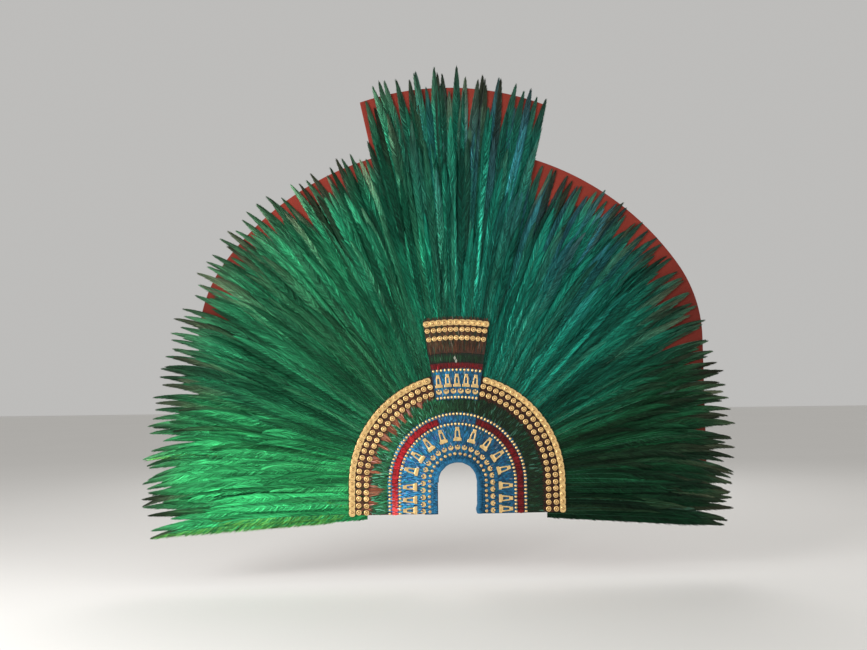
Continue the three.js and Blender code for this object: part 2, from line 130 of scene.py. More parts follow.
class HeaddressPlumeSettings(bpy.types.PropertyGroup):
    pitch: FloatProperty(
        name="Plume pitch", description="Angle between neighbouring plumes of one layer",
        default=math.radians(1.9), min=math.radians(0.8), max=math.radians(6), unit="ROTATION",
        subtype="ANGLE")
    vane: length_setting(
        "Vane half width", 0.0150, (0.004, 0.05),
        "Widest reach of a plume's barbs to either side of its shaft")
    vane_at_root: length_setting(
        "Vane half width at the root", 0.0105, (0.002, 0.05),
        "Reach of the barbs where the plumes crowd together")
    lance: length_setting("Tip length", 0.125, (0.02, 0.4), "Length over which a plume narrows to its tip")
    barb_pitch: length_setting(
        "Barb pitch", 0.0036, (0.002, 0.03), "Distance along the shaft between two locks of barbs")
    barb_width: length_setting("Barb lock width", 0.0018, (0.0005, 0.02), "Width of one lock of barbs")
    roll: FloatProperty(
        name="Roll", description="How far single plumes turn about their shafts",
        default=math.radians(14), min=0, max=1, unit="ROTATION", subtype="ANGLE")
    # Shaded forest and lit emerald hold painted shade and painted light: the plumes darker at the lower right
    # and brighter at the lower left, where the key light falls.
    shaded_forest: colour_setting("Forest", (0.007, 0.070, 0.026), "Green of the plumes at the lower right")
    teal: colour_setting("Teal", (0.007, 0.185, 0.125), "Blue green of the plumes at the upper right")
    crest: colour_setting("Crest", (0.006, 0.150, 0.078), "Green of the tall plumes in the middle")
    leaf: colour_setting("Leaf", (0.014, 0.165, 0.068), "Green of the plumes at the upper left")
    lit_emerald: colour_setting(
        "Emerald", (0.035, 0.420, 0.130), "Bright green of the plumes at the lower left")
    # Lit fringe: partly the barbs' own yellow green, partly painted highlight where the key light falls.
    lit_fringe: colour_setting("Fringe", (0.150, 0.560, 0.110), "Yellow green of the lowest barbs on the left")
    dusk: colour_setting(
        "Dusk", (0.060, 0.062, 0.036), "Grey brown of the plume tips and of the odd dull plume")
    violet: colour_setting("Violet", (0.040, 0.140, 0.240), "Blue shine of some plumes at the upper right")


# Colours with a left twin are lit and shaded copies of one feather colour: the left one is painted light
# where the key light falls, the plain one painted shade. Coral is partly the feathers' own colour, partly
# painted light at the lit left foot.
class HeaddressBandSettings(bpy.types.PropertyGroup):
    blue: colour_setting("Blue", (0.010, 0.096, 0.190), "Colour of the short blue feathers on the right")
    blue_left: colour_setting(
        "Blue, left", (0.035, 0.270, 0.520), "Colour of the short blue feathers on the left")
    red: colour_setting("Red", (0.145, 0.004, 0.006), "Colour of the short red feathers on the right")
    red_left: colour_setting(
        "Red, left", (0.480, 0.014, 0.020), "Colour of the short red feathers on the left")
    coral: colour_setting(
        "Coral", (0.850, 0.090, 0.085), "Colour of the red feathers close to the left foot")
    green: colour_setting("Green", (0.006, 0.019, 0.006), "Colour of the short green feathers on the right")
    green_left: colour_setting(
        "Green, left", (0.016, 0.110, 0.042), "Colour of the short green feathers on the left")
    brown: colour_setting("Brown", (0.040, 0.012, 0.006), "Colour of the short brown feathers on the right")
    brown_left: colour_setting(
        "Brown, left", (0.085, 0.030, 0.014), "Colour of the short brown feathers on the left")
    tuft: colour_setting("Tufts", (0.270, 0.075, 0.035), "Colour of the long brown tufts on the left")
    umber: colour_setting("Umber", (0.100, 0.050, 0.022), "Colour of the crown's upper field on the left")


class HeaddressGoldSettings(bpy.types.PropertyGroup):
    gold: colour_setting("Gold", (0.90, 0.62, 0.27), "Colour of the thin gold sheet")
    # The sunk rings' colour is painted shade: the gold darkened where it is sunk.
    hollow: colour_setting("Hollows", (0.36, 0.170, 0.055), "Colour of the gold where it is sunk and dark")
    disc: length_setting("Disc radius", 0.0082, (0.003, 0.02), "Radius of the gold discs on the brown band")
    dome: length_setting(
        "Dome radius", 0.0038, (0.001, 0.01), "Radius of the small gold domes beside the red band")


class HeaddressStageSettings(bpy.types.PropertyGroup):
    board: colour_setting("Board cloth", (0.120, 0.016, 0.010), "Red of the cloth on the backing board")
    floor: colour_setting("Floor", (0.80, 0.785, 0.76), "Colour of the plain floor")
    floor_level: length_setting(
        "Floor level", -0.2, (-2, -0.06), "Height of the floor under the headdress's base line")
    key: FloatProperty(
        name="Key light", description="Power of the large light from the left",
        default=95, min=0, max=2000, unit="POWER")
    fill: FloatProperty(
        name="Fill light", description="Power of the large light from the right",
        default=30, min=0, max=2000, unit="POWER")


# Materials


class Nodes:
    """A short way to write a node material."""

    def __init__(self, name, **sockets):
        self.material = bpy.data.materials.new(name)
        self.material.use_nodes = True
        self.tree = self.material.node_tree
        self.shader = self.tree.nodes["Principled BSDF"]
        for key, value in sockets.items():
            self.shader.inputs[key.replace("_", " ")].default_value = value

    def add(self, kind, **settings):
        node = self.tree.nodes.new("ShaderNode" + kind)
        for key, value in settings.items():
            setattr(node, key, value)
        return node

    def link(self, source, target):
        self.tree.links.new(source, target)
        return target

    def value(self, target, source):
        if isinstance(source, bpy.types.NodeSocket):
            self.link(source, target)
        else:
            target.default_value = source

    def math(self, operation, *inputs, clamp=False):
        node = self.add("Math", operation=operation, use_clamp=clamp)
        for socket, value in zip(node.inputs, inputs):
            self.value(socket, value)
        return node.outputs[0]

    def mix(self, factor, a, b, blend="MIX"):
        node = self.add("Mix", data_type="RGBA", blend_type=blend)
        self.value(node.inputs["Factor"], factor)
        for key, value in (("A", a), ("B", b)):
            socket = next(s for s in node.inputs if s.name == key and s.type == "RGBA")
            self.value(socket, value)
        return next(s for s in node.outputs if s.type == "RGBA")

    def ramp(self, factor, stops, interpolation="LINEAR"):
        node = self.add("ValToRGB")
        node.color_ramp.interpolation = interpolation
        elements = node.color_ramp.elements
        while len(elements) < len(stops):
            elements.new(0.5)
        for element, (place, colour) in zip(elements, stops):
            element.position = place
            element.color = colour if len(colour) == 4 else (*colour, 1)
        self.value(node.inputs["Fac"], factor)
        return node.outputs["Color"]

    def place(self):
        return self.add("TexCoord").outputs["Object"]

    def noise(self, scale, detail=3.0, vector=None, roughness=0.55):
        node = self.add("TexNoise")
        node.inputs["Scale"].default_value = scale
        node.inputs["Detail"].default_value = detail
        node.inputs["Roughness"].default_value = roughness
        self.link(vector or self.place(), node.inputs["Vector"])
        return node.outputs["Fac"]

    def tone(self):
        """The piece's own numbers: R by feather, G along it and B by lock."""
        split = self.add("SeparateColor")
        self.link(self.add("Attribute", attribute_name="tone").outputs["Color"], split.inputs["Color"])
        return split.outputs

    def fan(self):
        """The direction from the arch's middle as a share of the fan, and streaks that run outwards."""
        split = self.add("SeparateXYZ")
        self.link(self.place(), split.inputs[0])
        above = self.math("SUBTRACT", split.outputs["Z"], ARCH_Y)
        angle = self.math("ARCTAN2", above, split.outputs["X"])
        wrapped = self.math("MULTIPLY", self.math("LESS_THAN", angle, -math.pi / 2), 2 * math.pi)
        angle = self.math("ADD", angle, wrapped)
        far = self.add("VectorMath", operation="LENGTH")
        flat = self.add("CombineXYZ")
        self.link(split.outputs["X"], flat.inputs["X"])
        self.link(above, flat.inputs["Y"])
        self.link(flat.outputs[0], far.inputs[0])
        polar = self.add("CombineXYZ")
        self.link(self.math("MULTIPLY", angle, 24.0), polar.inputs["X"])
        self.link(self.math("MULTIPLY", far.outputs["Value"], 3.2), polar.inputs["Y"])
        share = self.math("MULTIPLY_ADD", angle, 1 / math.radians(FAN_SPAN), -FAN_START / FAN_SPAN)
        return share, self.noise(1.0, 3.0, polar.outputs[0])

    def strands(self, along, out):
        """Fine light and dark strands, so many to a metre along the shaft and out from it."""
        scale = self.add("VectorMath", operation="MULTIPLY")
        self.link(self.add("Attribute", attribute_name="vane").outputs["Vector"], scale.inputs[0])
        scale.inputs[1].default_value = (along, out, 9.7)
        return self.noise(1.0, 2.0, scale.outputs[0])

    def chances(self):
        """Three chances for each plume."""
        split = self.add("SeparateXYZ")
        self.link(self.add("Attribute", attribute_name="vane").outputs["Vector"], split.inputs[0])
        white = self.add("TexWhiteNoise", noise_dimensions="1D")
        self.link(split.outputs["Z"], white.inputs["W"])
        chance = self.add("SeparateColor")
        self.link(white.outputs["Color"], chance.inputs["Color"])
        return chance.outputs[:3]

    def rise(self, value, low, high):
        """0 below low, 1 above high and smooth between."""
        node = self.add("MapRange", interpolation_type="SMOOTHSTEP")
        self.link(value, node.inputs["Value"])
        node.inputs["From Min"].default_value = low
        node.inputs["From Max"].default_value = high
        return node.outputs["Result"]

    def window(self, value, low, high, soft):
        """1 between low and high, and 0 outside."""
        up = self.rise(value, low - soft, low + soft)
        return self.math("SUBTRACT", up, self.rise(value, high - soft, high + soft), clamp=True)

    def scaled(self, colour, level):
        node = self.add("VectorMath", operation="SCALE")
        if isinstance(colour, tuple):
            node.inputs[0].default_value = colour[:3]
        else:
            self.link(colour, node.inputs[0])
        self.link(level, node.inputs["Scale"])
        return node.outputs[0]

    def paint(self, colour):
        self.link(colour, self.shader.inputs["Base Color"])

    def bump(self, height, strength, distance):
        node = self.add("Bump")
        node.inputs["Strength"].default_value = strength
        node.inputs["Distance"].default_value = distance
        self.link(height, node.inputs["Height"])
        self.link(node.outputs["Normal"], self.shader.inputs["Normal"])


FAN_START, FAN_SPAN = -10.0, 200.0


def fan_share(deg):
    return (deg - FAN_START) / FAN_SPAN


def shade(colour, factor):
    return tuple(min(1.0, c * factor) for c in colour)


def plume_material(settings):
    """Iridescent green. Its colour goes by direction, with painted light and shade in it, and light and dark
    by plume, by lock and by fine strands.
    """
    n = Nodes("plume_barbs", Metallic=0.70, Specular_IOR_Level=0.25)
    by_plume, across, by_lock = n.tone()[:3]
    reach = n.add("Attribute", attribute_name="tone").outputs["Alpha"]
    around, streak = n.fan()
    by_barb, by_line = n.strands(430, 55), n.strands(5, 420)
    wandered = n.math("MULTIPLY_ADD", streak, 0.10, n.math("ADD", around, -0.05), clamp=True)
    # Colour by direction with painted light in it: lit emerald at the lower left, shaded forest at the lower
    # right, darkest at the right foot as painted shade.
    lit_hue = n.ramp(wandered, [
        (fan_share(-6), shade(settings.shaded_forest, 0.45)), (fan_share(22), settings.shaded_forest),
        (fan_share(50), settings.teal), (fan_share(82), settings.teal), (fan_share(100), settings.crest),
        (fan_share(128), settings.leaf), (fan_share(156), settings.leaf), (fan_share(172), settings.lit_emerald)])
    red, green, blue = n.chances()
    upper_right = n.window(around, fan_share(52), fan_share(94), 0.05)
    is_violet = n.math("MULTIPLY", n.math("GREATER_THAN", red, 0.70), upper_right)
    violet = n.math("MULTIPLY", is_violet, n.math("MULTIPLY", n.rise(reach, 0.50, 0.85), 0.6))
    lit_hue = n.mix(violet, lit_hue, (*settings.violet, 1))
    near_rim = n.rise(reach, 0.70, 0.97)
    how_dull = n.math("MULTIPLY_ADD", near_rim, 0.70, 0.18)
    dull = n.math("MULTIPLY", n.math("GREATER_THAN", green, 0.70), how_dull)
    lit_hue = n.mix(dull, lit_hue, (*settings.dusk, 1))
    lit_hue = n.mix(n.math("MULTIPLY", n.rise(reach, 0.84, 1.0), 0.62), lit_hue, (*settings.dusk, 1))
    level = n.math("MULTIPLY_ADD", by_plume, 0.85, 0.42)
    level = n.math("MULTIPLY", level, n.math("MULTIPLY_ADD", by_lock, 0.9, 0.42))
    level = n.math("MULTIPLY", level, n.math("MULTIPLY_ADD", by_barb, 0.8, 0.57))
    level = n.math("MULTIPLY", level, n.math("MULTIPLY_ADD", by_line, 2.2, -0.12))
    level = n.math("MULTIPLY", level, n.math("MULTIPLY_ADD", streak, 2.0, 0.0))
    # A few plumes drawn brighter: painted highlight.
    shine = n.math("MULTIPLY_ADD", n.math("GREATER_THAN", blue, 0.90), 0.5, 1.0)
    level = n.math("MULTIPLY", level, shine)
    left_tips = n.math("MULTIPLY", n.rise(reach, 0.80, 0.97), n.rise(around, fan_share(138), fan_share(166)))
    level = n.math("MULTIPLY", level, n.math("MULTIPLY_ADD", left_tips, -0.55, 1.0))
    body = n.scaled(lit_hue, level)
    # Lighter edges on some vanes near the tips: painted highlight on the lit edge.
    rim = n.math("MULTIPLY", n.math("POWER", across, 6.0), n.math("MULTIPLY", n.rise(reach, 0.78, 0.92), 0.5))
    body = n.mix(n.math("MULTIPLY", rim, n.math("GREATER_THAN", blue, 0.4)), body, (0.16, 0.34, 0.24, 1))
    # Plumes drawn at 1.0 take the lit fringe colour, partly painted highlight.
    body = n.mix(n.math("GREATER_THAN", by_plume, 0.985), body, n.scaled((*settings.lit_fringe, 1), by_lock))
    n.paint(body)
    n.link(n.math("MULTIPLY_ADD", red, 0.14, 0.38), n.shader.inputs["Roughness"])
    n.bump(by_barb, 0.35, 0.0008)
    return n.material


def shaft_material():
    n = Nodes("plume_shafts", Roughness=0.45, Metallic=0.4, Specular_IOR_Level=0.3)
    by_plume = n.tone()[0]
    # Most shafts dark and some pale, by plume, with a mottle along them.
    mottle = n.math("MULTIPLY_ADD", n.noise(60, 2.0), 0.5, n.math("MULTIPLY_ADD", by_plume, 1.0, -0.35))
    colour = n.ramp(mottle, [
        (0.3, (0.004, 0.030, 0.014)), (0.75, (0.02, 0.13, 0.07)), (0.95, (0.16, 0.40, 0.26))])
    n.paint(colour)
    n.bump(n.noise(700, 2.0), 0.2, 0.0004)
    return n.material


# The mat behind the plumes, nearly black green: painted shade between the plumes.
def shaded_under_material():
    n = Nodes("under_feathers", Roughness=0.8, Sheen_Weight=0.2)
    colour = n.ramp(n.noise(45, 4.0), [(0.25, (0.003, 0.022, 0.012)), (0.8, (0.010, 0.085, 0.040))])
    n.paint(colour)
    n.bump(n.noise(420, 4.0), 0.6, 0.0012)
    return n.material


def short_feather_material(name, right, left, accents, foot=None, roughness=0.6):
    """Short feathers, lighter and darker from one to the next, with the odd accent among them.

    left is their colour on the side where the light falls and right on the other, lit and shaded copies as
    painted light and shade, and foot close to the left foot, mixed in only on the lit side.
    """
    n = Nodes(name, Roughness=roughness, Sheen_Weight=0.06, Sheen_Roughness=0.4, Specular_IOR_Level=0.22)
    n.shader.inputs["Sheen Tint"].default_value = (*[min(1, 0.3 + 0.7 * c / max(left)) for c in left], 1)
    first, along, second = n.tone()[:3]
    split = n.add("SeparateXYZ")
    n.link(n.place(), split.inputs[0])
    lit = n.rise(n.math("MULTIPLY", split.outputs["X"], -1.0), -0.12, 0.24)
    colour = n.mix(lit, (*right, 1), (*left, 1))
    if foot:
        low = n.rise(n.math("MULTIPLY", split.outputs["Z"], -1.0), -0.075, -0.010)
        colour = n.mix(n.math("MULTIPLY", low, lit), colour, (*foot, 1))
    for limit, accent in accents:
        shone = n.scaled((*accent, 1), n.math("MULTIPLY_ADD", lit, 0.85, 0.20))
        colour = n.mix(n.math("GREATER_THAN", second, limit), colour, shone)
    fibres = n.noise(1500, 2.0)
    level = n.math("MULTIPLY_ADD", n.math("POWER", first, 1.4), 1.15, 0.42)
    level = n.math("MULTIPLY", level, n.math("MULTIPLY_ADD", along, 0.55, 0.62))
    level = n.math("MULTIPLY", level, n.math("MULTIPLY_ADD", fibres, 0.9, 0.55))
    n.paint(n.scaled(colour, level))
    n.bump(fibres, 0.4, 0.0005)
    return n.material


def gold_material(settings):
    n = Nodes("gold_sheet", Metallic=0.90, Roughness=0.34)
    mottle = n.noise(130, 4.0)
    colour = n.ramp(mottle, [
        (0.25, shade(settings.gold, 0.70)), (0.55, settings.gold), (0.85, shade(settings.gold, 1.12))])
    n.paint(colour)
    n.link(n.math("MULTIPLY_ADD", mottle, 0.28, 0.26), n.shader.inputs["Roughness"])
    n.bump(n.noise(520, 3.0), 0.35, 0.0005)
    return n.material


# Darker gold for the sunk ring of the discs: painted shade in the recess.
def sunk_shade_material(settings):
    n = Nodes("gold_hollows", Metallic=0.6, Roughness=0.6)
    dark, light = shade(settings.hollow, 0.6), shade(settings.hollow, 1.3)
    colour = n.ramp(n.noise(240, 3.0), [(0.3, dark), (0.8, light)])
    n.paint(colour)
    n.bump(n.noise(600, 3.0), 0.4, 0.0004)
    return n.material


def cloth_material(colour):
    """Matt cloth glued on a board, with a fine weave, and painted light that makes it brighter towards its
    upper rim.
    """
    n = Nodes("board_cloth", Roughness=0.95, Sheen_Weight=0.10, Sheen_Roughness=0.55, Specular_IOR_Level=0.15)
    n.shader.inputs["Sheen Tint"].default_value = (1.0, 0.55, 0.5, 1)
    place = n.place()
    mottled = n.ramp(n.noise(7, 5.0), [(0.25, shade(colour, 0.8)), (0.75, shade(colour, 1.18))])
    fibres = n.ramp(n.noise(1300, 2.0), [(0.3, (0.82, 0.82, 0.82)), (0.7, (1.1, 1.1, 1.1))])
    split = n.add("SeparateXYZ")
    n.link(place, split.inputs[0])
    # Painted light: the cloth is brighter towards the top, where the light falls from above.
    upper = n.math("MULTIPLY_ADD", n.rise(split.outputs["Z"], 0.60, 0.90), 0.75, 1.0)
    n.paint(n.scaled(n.mix(1.0, mottled, fibres, "MULTIPLY"), upper))
    heights = []
    for axis in ("X", "Z"):
        wave = n.add("TexWave", wave_type="BANDS", bands_direction=axis)
        wave.inputs["Scale"].default_value = 210
        wave.inputs["Distortion"].default_value = 1.2
        n.link(place, wave.inputs["Vector"])
        heights.append(wave.outputs["Fac"])
    n.bump(n.math("ADD", *heights), 0.35, 0.0005)
    return n.material


# Netting and the pale quill; the nettings take a darker copy of their feathers' colour, painted shade in the
# gaps between the feathers.
def backing_material(name, colour):
    n = Nodes(name, Roughness=0.9)
    body = n.ramp(n.noise(90, 3.0), [(0.3, shade(colour, 0.55)), (0.75, shade(colour, 1.1))])
    n.paint(body)
    n.bump(n.noise(700, 3.0), 0.5, 0.0006)
    return n.material


# Meshes


def arrays_of(bm):
    """A bmesh as corner positions, triangles and their material numbers, and the bmesh is freed."""
    bmesh.ops.triangulate(bm, faces=bm.faces[:])
    bm.verts.index_update()
    verts = np.array([v.co for v in bm.verts], float)
    tris = np.array([[v.index for v in f.verts] for f in bm.faces], int)
    slots = np.array([f.material_index for f in bm.faces], int)
    bm.free()
    return verts, tris, slots


def mesh_of(name, bm):
    """The bmesh as a mesh, and the bmesh is freed."""
    mesh = bpy.data.meshes.new(name)
    bm.to_mesh(mesh)
    bm.free()
    return mesh


def cut(bm, place, normal, **options):
    """Cuts the whole of a bmesh along a plane."""
    whole = bm.verts[:] + bm.edges[:] + bm.faces[:]
    bmesh.ops.bisect_plane(bm, geom=whole, plane_co=place, plane_no=normal, **options)


def unit(vectors):
    """The vectors, one to a row, at length 1."""
    return vectors / np.linalg.norm(vectors, axis=1)[:, None]


def jittered(rng, many, jitter):
    """Shares from 0 to 1 in even steps, each moved by up to jitter of a step."""
    return (np.arange(many) + 0.5 + rng.uniform(-jitter, jitter, many)) / many


class Heap:
    """Collects copies of small meshes for one piece."""

    def __init__(self):
        self.verts, self.tris, self.slots, self.tones, self.vanes = [], [], [], [], []
        self.count = 0

    def take(self, verts, tris, slots, tones, vanes=None):
        self.verts.append(verts)
        self.tris.append(tris + self.count)
        self.slots.append(slots)
        self.tones.append(tones)
        self.vanes.append(np.zeros((len(verts), 3)) if vanes is None else vanes)
        self.count += len(verts)

    def stamp(self, master, origins, rights, ups, tones=None):
        """Copies of master with its x and y turned to those directions, its z to their cross product."""
        verts, tris, slots = master
        outs = np.cross(rights, ups)
        turned = (
            origins[:, None, :]
            + verts[None, :, 0, None] * rights[:, None, :]
            + verts[None, :, 1, None] * ups[:, None, :]
            + verts[None, :, 2, None] * outs[:, None, :]
        )
        many = len(origins)
        all_tris = (tris[None] + (np.arange(many) * len(verts))[:, None, None]).reshape(-1, 3)
        if tones is None:
            tones = np.zeros((many, len(verts), 3))
        self.take(turned.reshape(-1, 3), all_tris, np.tile(slots, many), tones.reshape(many * len(verts), -1))

    def piece(self, name, materials, nodes, slot, smooth=False):
        verts, tris = np.concatenate(self.verts), np.concatenate(self.tris)
        mesh = bpy.data.meshes.new(name)
        mesh.vertices.add(len(verts))
        mesh.vertices.foreach_set("co", verts.astype(np.float32).ravel())
        mesh.loops.add(tris.size)
        mesh.loops.foreach_set("vertex_index", tris.astype(np.int32).ravel())
        mesh.polygons.add(len(tris))
        mesh.polygons.foreach_set("loop_start", np.arange(0, tris.size, 3, dtype=np.int32))
        mesh.polygons.foreach_set("material_index", np.concatenate(self.slots).astype(np.int32))
        mesh.polygons.foreach_set("use_smooth", np.full(len(tris), smooth))
        mesh.update(calc_edges=True)
        tone = mesh.attributes.new("tone", "FLOAT_COLOR", "POINT")
        rgba = np.zeros((len(verts), 4), np.float32)
        start = 0
        for tones in self.tones:
            rgba[start:start + len(tones), :tones.shape[1]] = tones
            start += len(tones)
        tone.data.foreach_set("color", rgba.ravel())
        vane = mesh.attributes.new("vane", "FLOAT_VECTOR", "POINT")
        vane.data.foreach_set("vector", np.concatenate(self.vanes).astype(np.float32).ravel())
        stand(name, mesh, materials, nodes)


def stand(name, mesh, materials, nodes):
    """The piece, turned from the sheet into the row frame, in place of its CAD nodes."""
    mesh.transform(STAND_UP)
    for material in materials:
        mesh.materials.append(material)
    piece = bpy.data.objects.new(name, mesh)
    bpy.context.scene.collection.objects.link(piece)
    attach(piece, "root")
    if nodes:
        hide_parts(*nodes)


def arc(centre_y, r, start, end, steps, centre_x=0.0):
    return [
        (centre_x + r * math.cos(a), centre_y + r * math.sin(a))
        for a in frange(start, end, steps)
    ]


def barb_master():
    """A flat pointed blade from y = 0 to 1, a little wider in the middle than at its root."""
    bm = bmesh.new()
    bmesh.ops.create_grid(bm, x_segments=1, y_segments=2, size=0.5)
    bmesh.ops.translate(bm, verts=bm.verts[:], vec=(0, 0.5, 0))
    tip = [v for v in bm.verts if v.co.y > 0.9]
    bmesh.ops.pointmerge(bm, verts=tip, merge_co=(0, 1, 0))
    for v in bm.verts:
        v.co.x *= 1.15 if v.co.y > 0.4 else 0.8
    return arrays_of(bm)


def vane_master(steps=22):
    """A strip of two columns from x = -1 to 1 and y = 0 to 1, with a point and more rows at its end."""
    bm = bmesh.new()
    bmesh.ops.create_grid(bm, x_segments=2, y_segments=steps, size=1)
    tip = [v for v in bm.verts if v.co.y > 0.999]
    bmesh.ops.pointmerge(bm, verts=tip, merge_co=(0, 1, 0))
    for v in bm.verts:
        share = (v.co.y + 1) / 2
        v.co.y = share * (1.6 - 0.6 * share)
    return arrays_of(bm)


TRIANGLE_HALF = 0.866  # half the side of a triangle in a circle of radius 1


def feather_master():
    """A short closed feather with a ridge, from y = 0 to 1, widest in the middle."""
    bm = bmesh.new()
    bmesh.ops.create_cone(bm, cap_ends=True, segments=3, radius1=1, radius2=0, depth=1)
    bmesh.ops.rotate(bm, verts=bm.verts[:], matrix=Matrix.Rotation(math.pi / 2, 3, "Z"))
    bmesh.ops.translate(bm, verts=bm.verts[:], vec=(0, 0, 0.5))
    cut(bm, (0, 0, 0.5), (0, 0, 1))
    for v in bm.verts:
        wide = {0: 0.8, 1: 2.1, 2: 1.0}[round(v.co.z * 2)]
        v.co = v.co.x * wide / TRIANGLE_HALF, v.co.z, (v.co.y * wide + 0.5) / 1.5
    bmesh.ops.recalc_face_normals(bm, faces=bm.faces[:])
    return arrays_of(bm)


def ring_slab(
        inner, outer, low, high, legs=True, half=None, centre_y=ARCH_Y, edge=0.0011, segments=3, steps=72):
    """A band with rounded front edges: its section is spun and, on the arch, drawn down the legs."""
    bm = bmesh.new()
    corners = [(inner, low), (outer, low), (outer, high), (inner, high)]
    verts = [bm.verts.new((r, 0, z)) for r, z in corners]
    bm.faces.new(verts)
    bmesh.ops.bevel(
        bm, geom=verts[2:], offset=edge, segments=segments, profile=0.5, affect="VERTICES", material=-1)
    start = 0.0 if half is None else math.pi / 2 - half
    bmesh.ops.rotate(bm, verts=bm.verts[:], matrix=Matrix.Rotation(start, 3, "Z"))
    bmesh.ops.translate(bm, verts=bm.verts[:], vec=(0, centre_y, 0))
    bmesh.ops.spin(
        bm, geom=bm.faces[:], cent=(0, centre_y, 0), axis=(0, 0, 1), dvec=(0, 0, 0),
        angle=math.pi - 2 * start, steps=steps, use_duplicate=False)
    if legs:
        ends = [f for f in bm.faces if all(abs(v.co.y - centre_y) < 1e-7 for v in f.verts)]
        for end in ends:
            leg = bmesh.ops.extrude_face_region(bm, geom=[end])
            moved = [g for g in leg["geom"] if isinstance(g, bmesh.types.BMVert)]
            bmesh.ops.translate(bm, verts=moved, vec=(0, -centre_y, 0))
            if end.is_valid:
                bmesh.ops.delete(bm, geom=[end], context="FACES_ONLY")
    bmesh.ops.remove_doubles(bm, verts=bm.verts[:], dist=1e-6)
    bmesh.ops.recalc_face_normals(bm, faces=bm.faces[:])
    return bm


def disc_master(radius, steps=16):
    """An embossed disc: a boss, a sunk ring and a raised rim, spun from its profile."""
    profile = [  # share of the radius, height in mm
        (0.0, 2.0), (0.20, 1.85), (0.34, 1.25), (0.50, 1.20), (0.62, 1.90), (0.84, 1.75), (1.0, 0.9),
        (0.97, 0.0), (0.0, 0.0),
    ]
    bm = bmesh.new()
    chain = [bm.verts.new((share * radius, 0, height * MM)) for share, height in profile]
    edges = [bm.edges.new(pair) for pair in zip(chain, chain[1:])]
    bmesh.ops.spin(
        bm, geom=chain + edges, cent=(0, 0, 0), axis=(0, 0, 1), dvec=(0, 0, 0), angle=2 * math.pi,
        steps=steps, use_merge=True, use_duplicate=False)
    bmesh.ops.remove_doubles(bm, verts=bm.verts[:], dist=1e-6)
    bmesh.ops.recalc_face_normals(bm, faces=bm.faces[:])
    for f in bm.faces:
        away = f.calc_center_median().xy.length / radius
        # The sunk ring takes the second material, darker gold as painted shade.
        f.material_index = int(0.30 < away < 0.58 and f.normal.z > 0.1)
    return arrays_of(bm)


def dome_master(radius, sides=10, stretch=1.0):
    """A domed bead, longer up the sheet by stretch."""
    bm = bmesh.new()
    bmesh.ops.create_uvsphere(bm, u_segments=sides, v_segments=6, radius=radius)
    cut(bm, (0, 0, -radius * 0.05), (0, 0, -1), clear_outer=True)
    bmesh.ops.contextual_create(bm, geom=[e for e in bm.edges if e.is_boundary])
    bmesh.ops.scale(bm, verts=bm.verts[:], vec=(1, stretch, 0.78))
    bmesh.ops.translate(bm, verts=bm.verts[:], vec=(0, 0, radius * 0.04))
    bmesh.ops.recalc_face_normals(bm, faces=bm.faces[:])
    return arrays_of(bm)


def lap_plate_master(length, width):
    """One lapped plate of the gold edge: a tile with nearly round ends, higher at its leading end."""
    bm = bmesh.new()
    bmesh.ops.create_grid(bm, x_segments=1, y_segments=1, size=0.5)
    bmesh.ops.scale(bm, verts=bm.verts[:], vec=(length, width, 1))
    out = bmesh.ops.extrude_face_region(bm, geom=bm.faces[:])
    top = [g for g in out["geom"] if isinstance(g, bmesh.types.BMVert)]
    bmesh.ops.translate(bm, verts=top, vec=(0, 0, 1.2 * MM))
    upright = [e for e in bm.edges if abs(e.verts[0].co.z - e.verts[1].co.z) > 0.5 * MM]
    bmesh.ops.bevel(
        bm, geom=upright, offset=0.42 * width, segments=4, profile=0.5, affect="EDGES", material=-1)
    rim = [e for e in bm.edges if all(v.co.z > 0.5 * MM for v in e.verts)]
    bmesh.ops.bevel(bm, geom=rim, offset=0.5 * MM, segments=2, profile=0.5, affect="EDGES", material=-1)
    for v in bm.verts:
        v.co.z += (v.co.x / length + 0.5) * 1.9 * MM
    bmesh.ops.recalc_face_normals(bm, faces=bm.faces[:])
    return arrays_of(bm)


# The crescent is a disc with a smaller one, the bite, taken out of its top. The bite's radius and middle
# are shares of the disc's radius, and the angles run from straight up to a horn, about the disc's middle
# and the bite's.
CRESCENT = {"bite": 0.65, "up": 0.5625, "horn": math.radians(37.4), "bite_horn": math.radians(110.9)}


def crescent_master(half):
    """A crescent moon with its horns up the sheet, a raised rim and a sunk field."""
    bm = bmesh.new()
    bmesh.ops.create_circle(bm, cap_ends=True, segments=24, radius=half)
    for v in bm.verts:
        share = math.atan2(v.co.x, v.co.y) / CRESCENT["horn"]
        if abs(share) < 1:
            turned = share * CRESCENT["bite_horn"]
            bite = CRESCENT["bite"] * half
            v.co.xy = bite * math.sin(turned), CRESCENT["up"] * half - bite * math.cos(turned)
    out = bmesh.ops.extrude_face_region(bm, geom=bm.faces[:])
    top = [g for g in out["geom"] if isinstance(g, bmesh.types.BMVert)]
    bmesh.ops.translate(bm, verts=top, vec=(0, 0, 1.6 * MM))
    bmesh.ops.recalc_face_normals(bm, faces=bm.faces[:])
    front = [f for f in bm.faces if len(f.verts) > 4 and f.calc_center_median().z > 0.8 * MM]
    bmesh.ops.inset_region(bm, faces=front, thickness=0.09 * half, depth=-0.6 * MM)
    bmesh.ops.recalc_face_normals(bm, faces=bm.faces[:])
    return arrays_of(bm)


# Rows of the stepped plate, foot to head, in mm: y, and half the width of the foot, the body and the
# window.
PLATE_ROWS = [
    (-21.0, 12.0, 9.3, 4.5), (-12.6, 12.0, 9.3, 4.5), (-9.0, 8.9, 8.6, 4.5),
    (9.5, 7.4, 7.0, 3.0), (14.0, 5.9, 5.4, 2.5), (21.0, 5.9, 5.4, 2.5),
]
FOOT_BAR_Y = -12.0


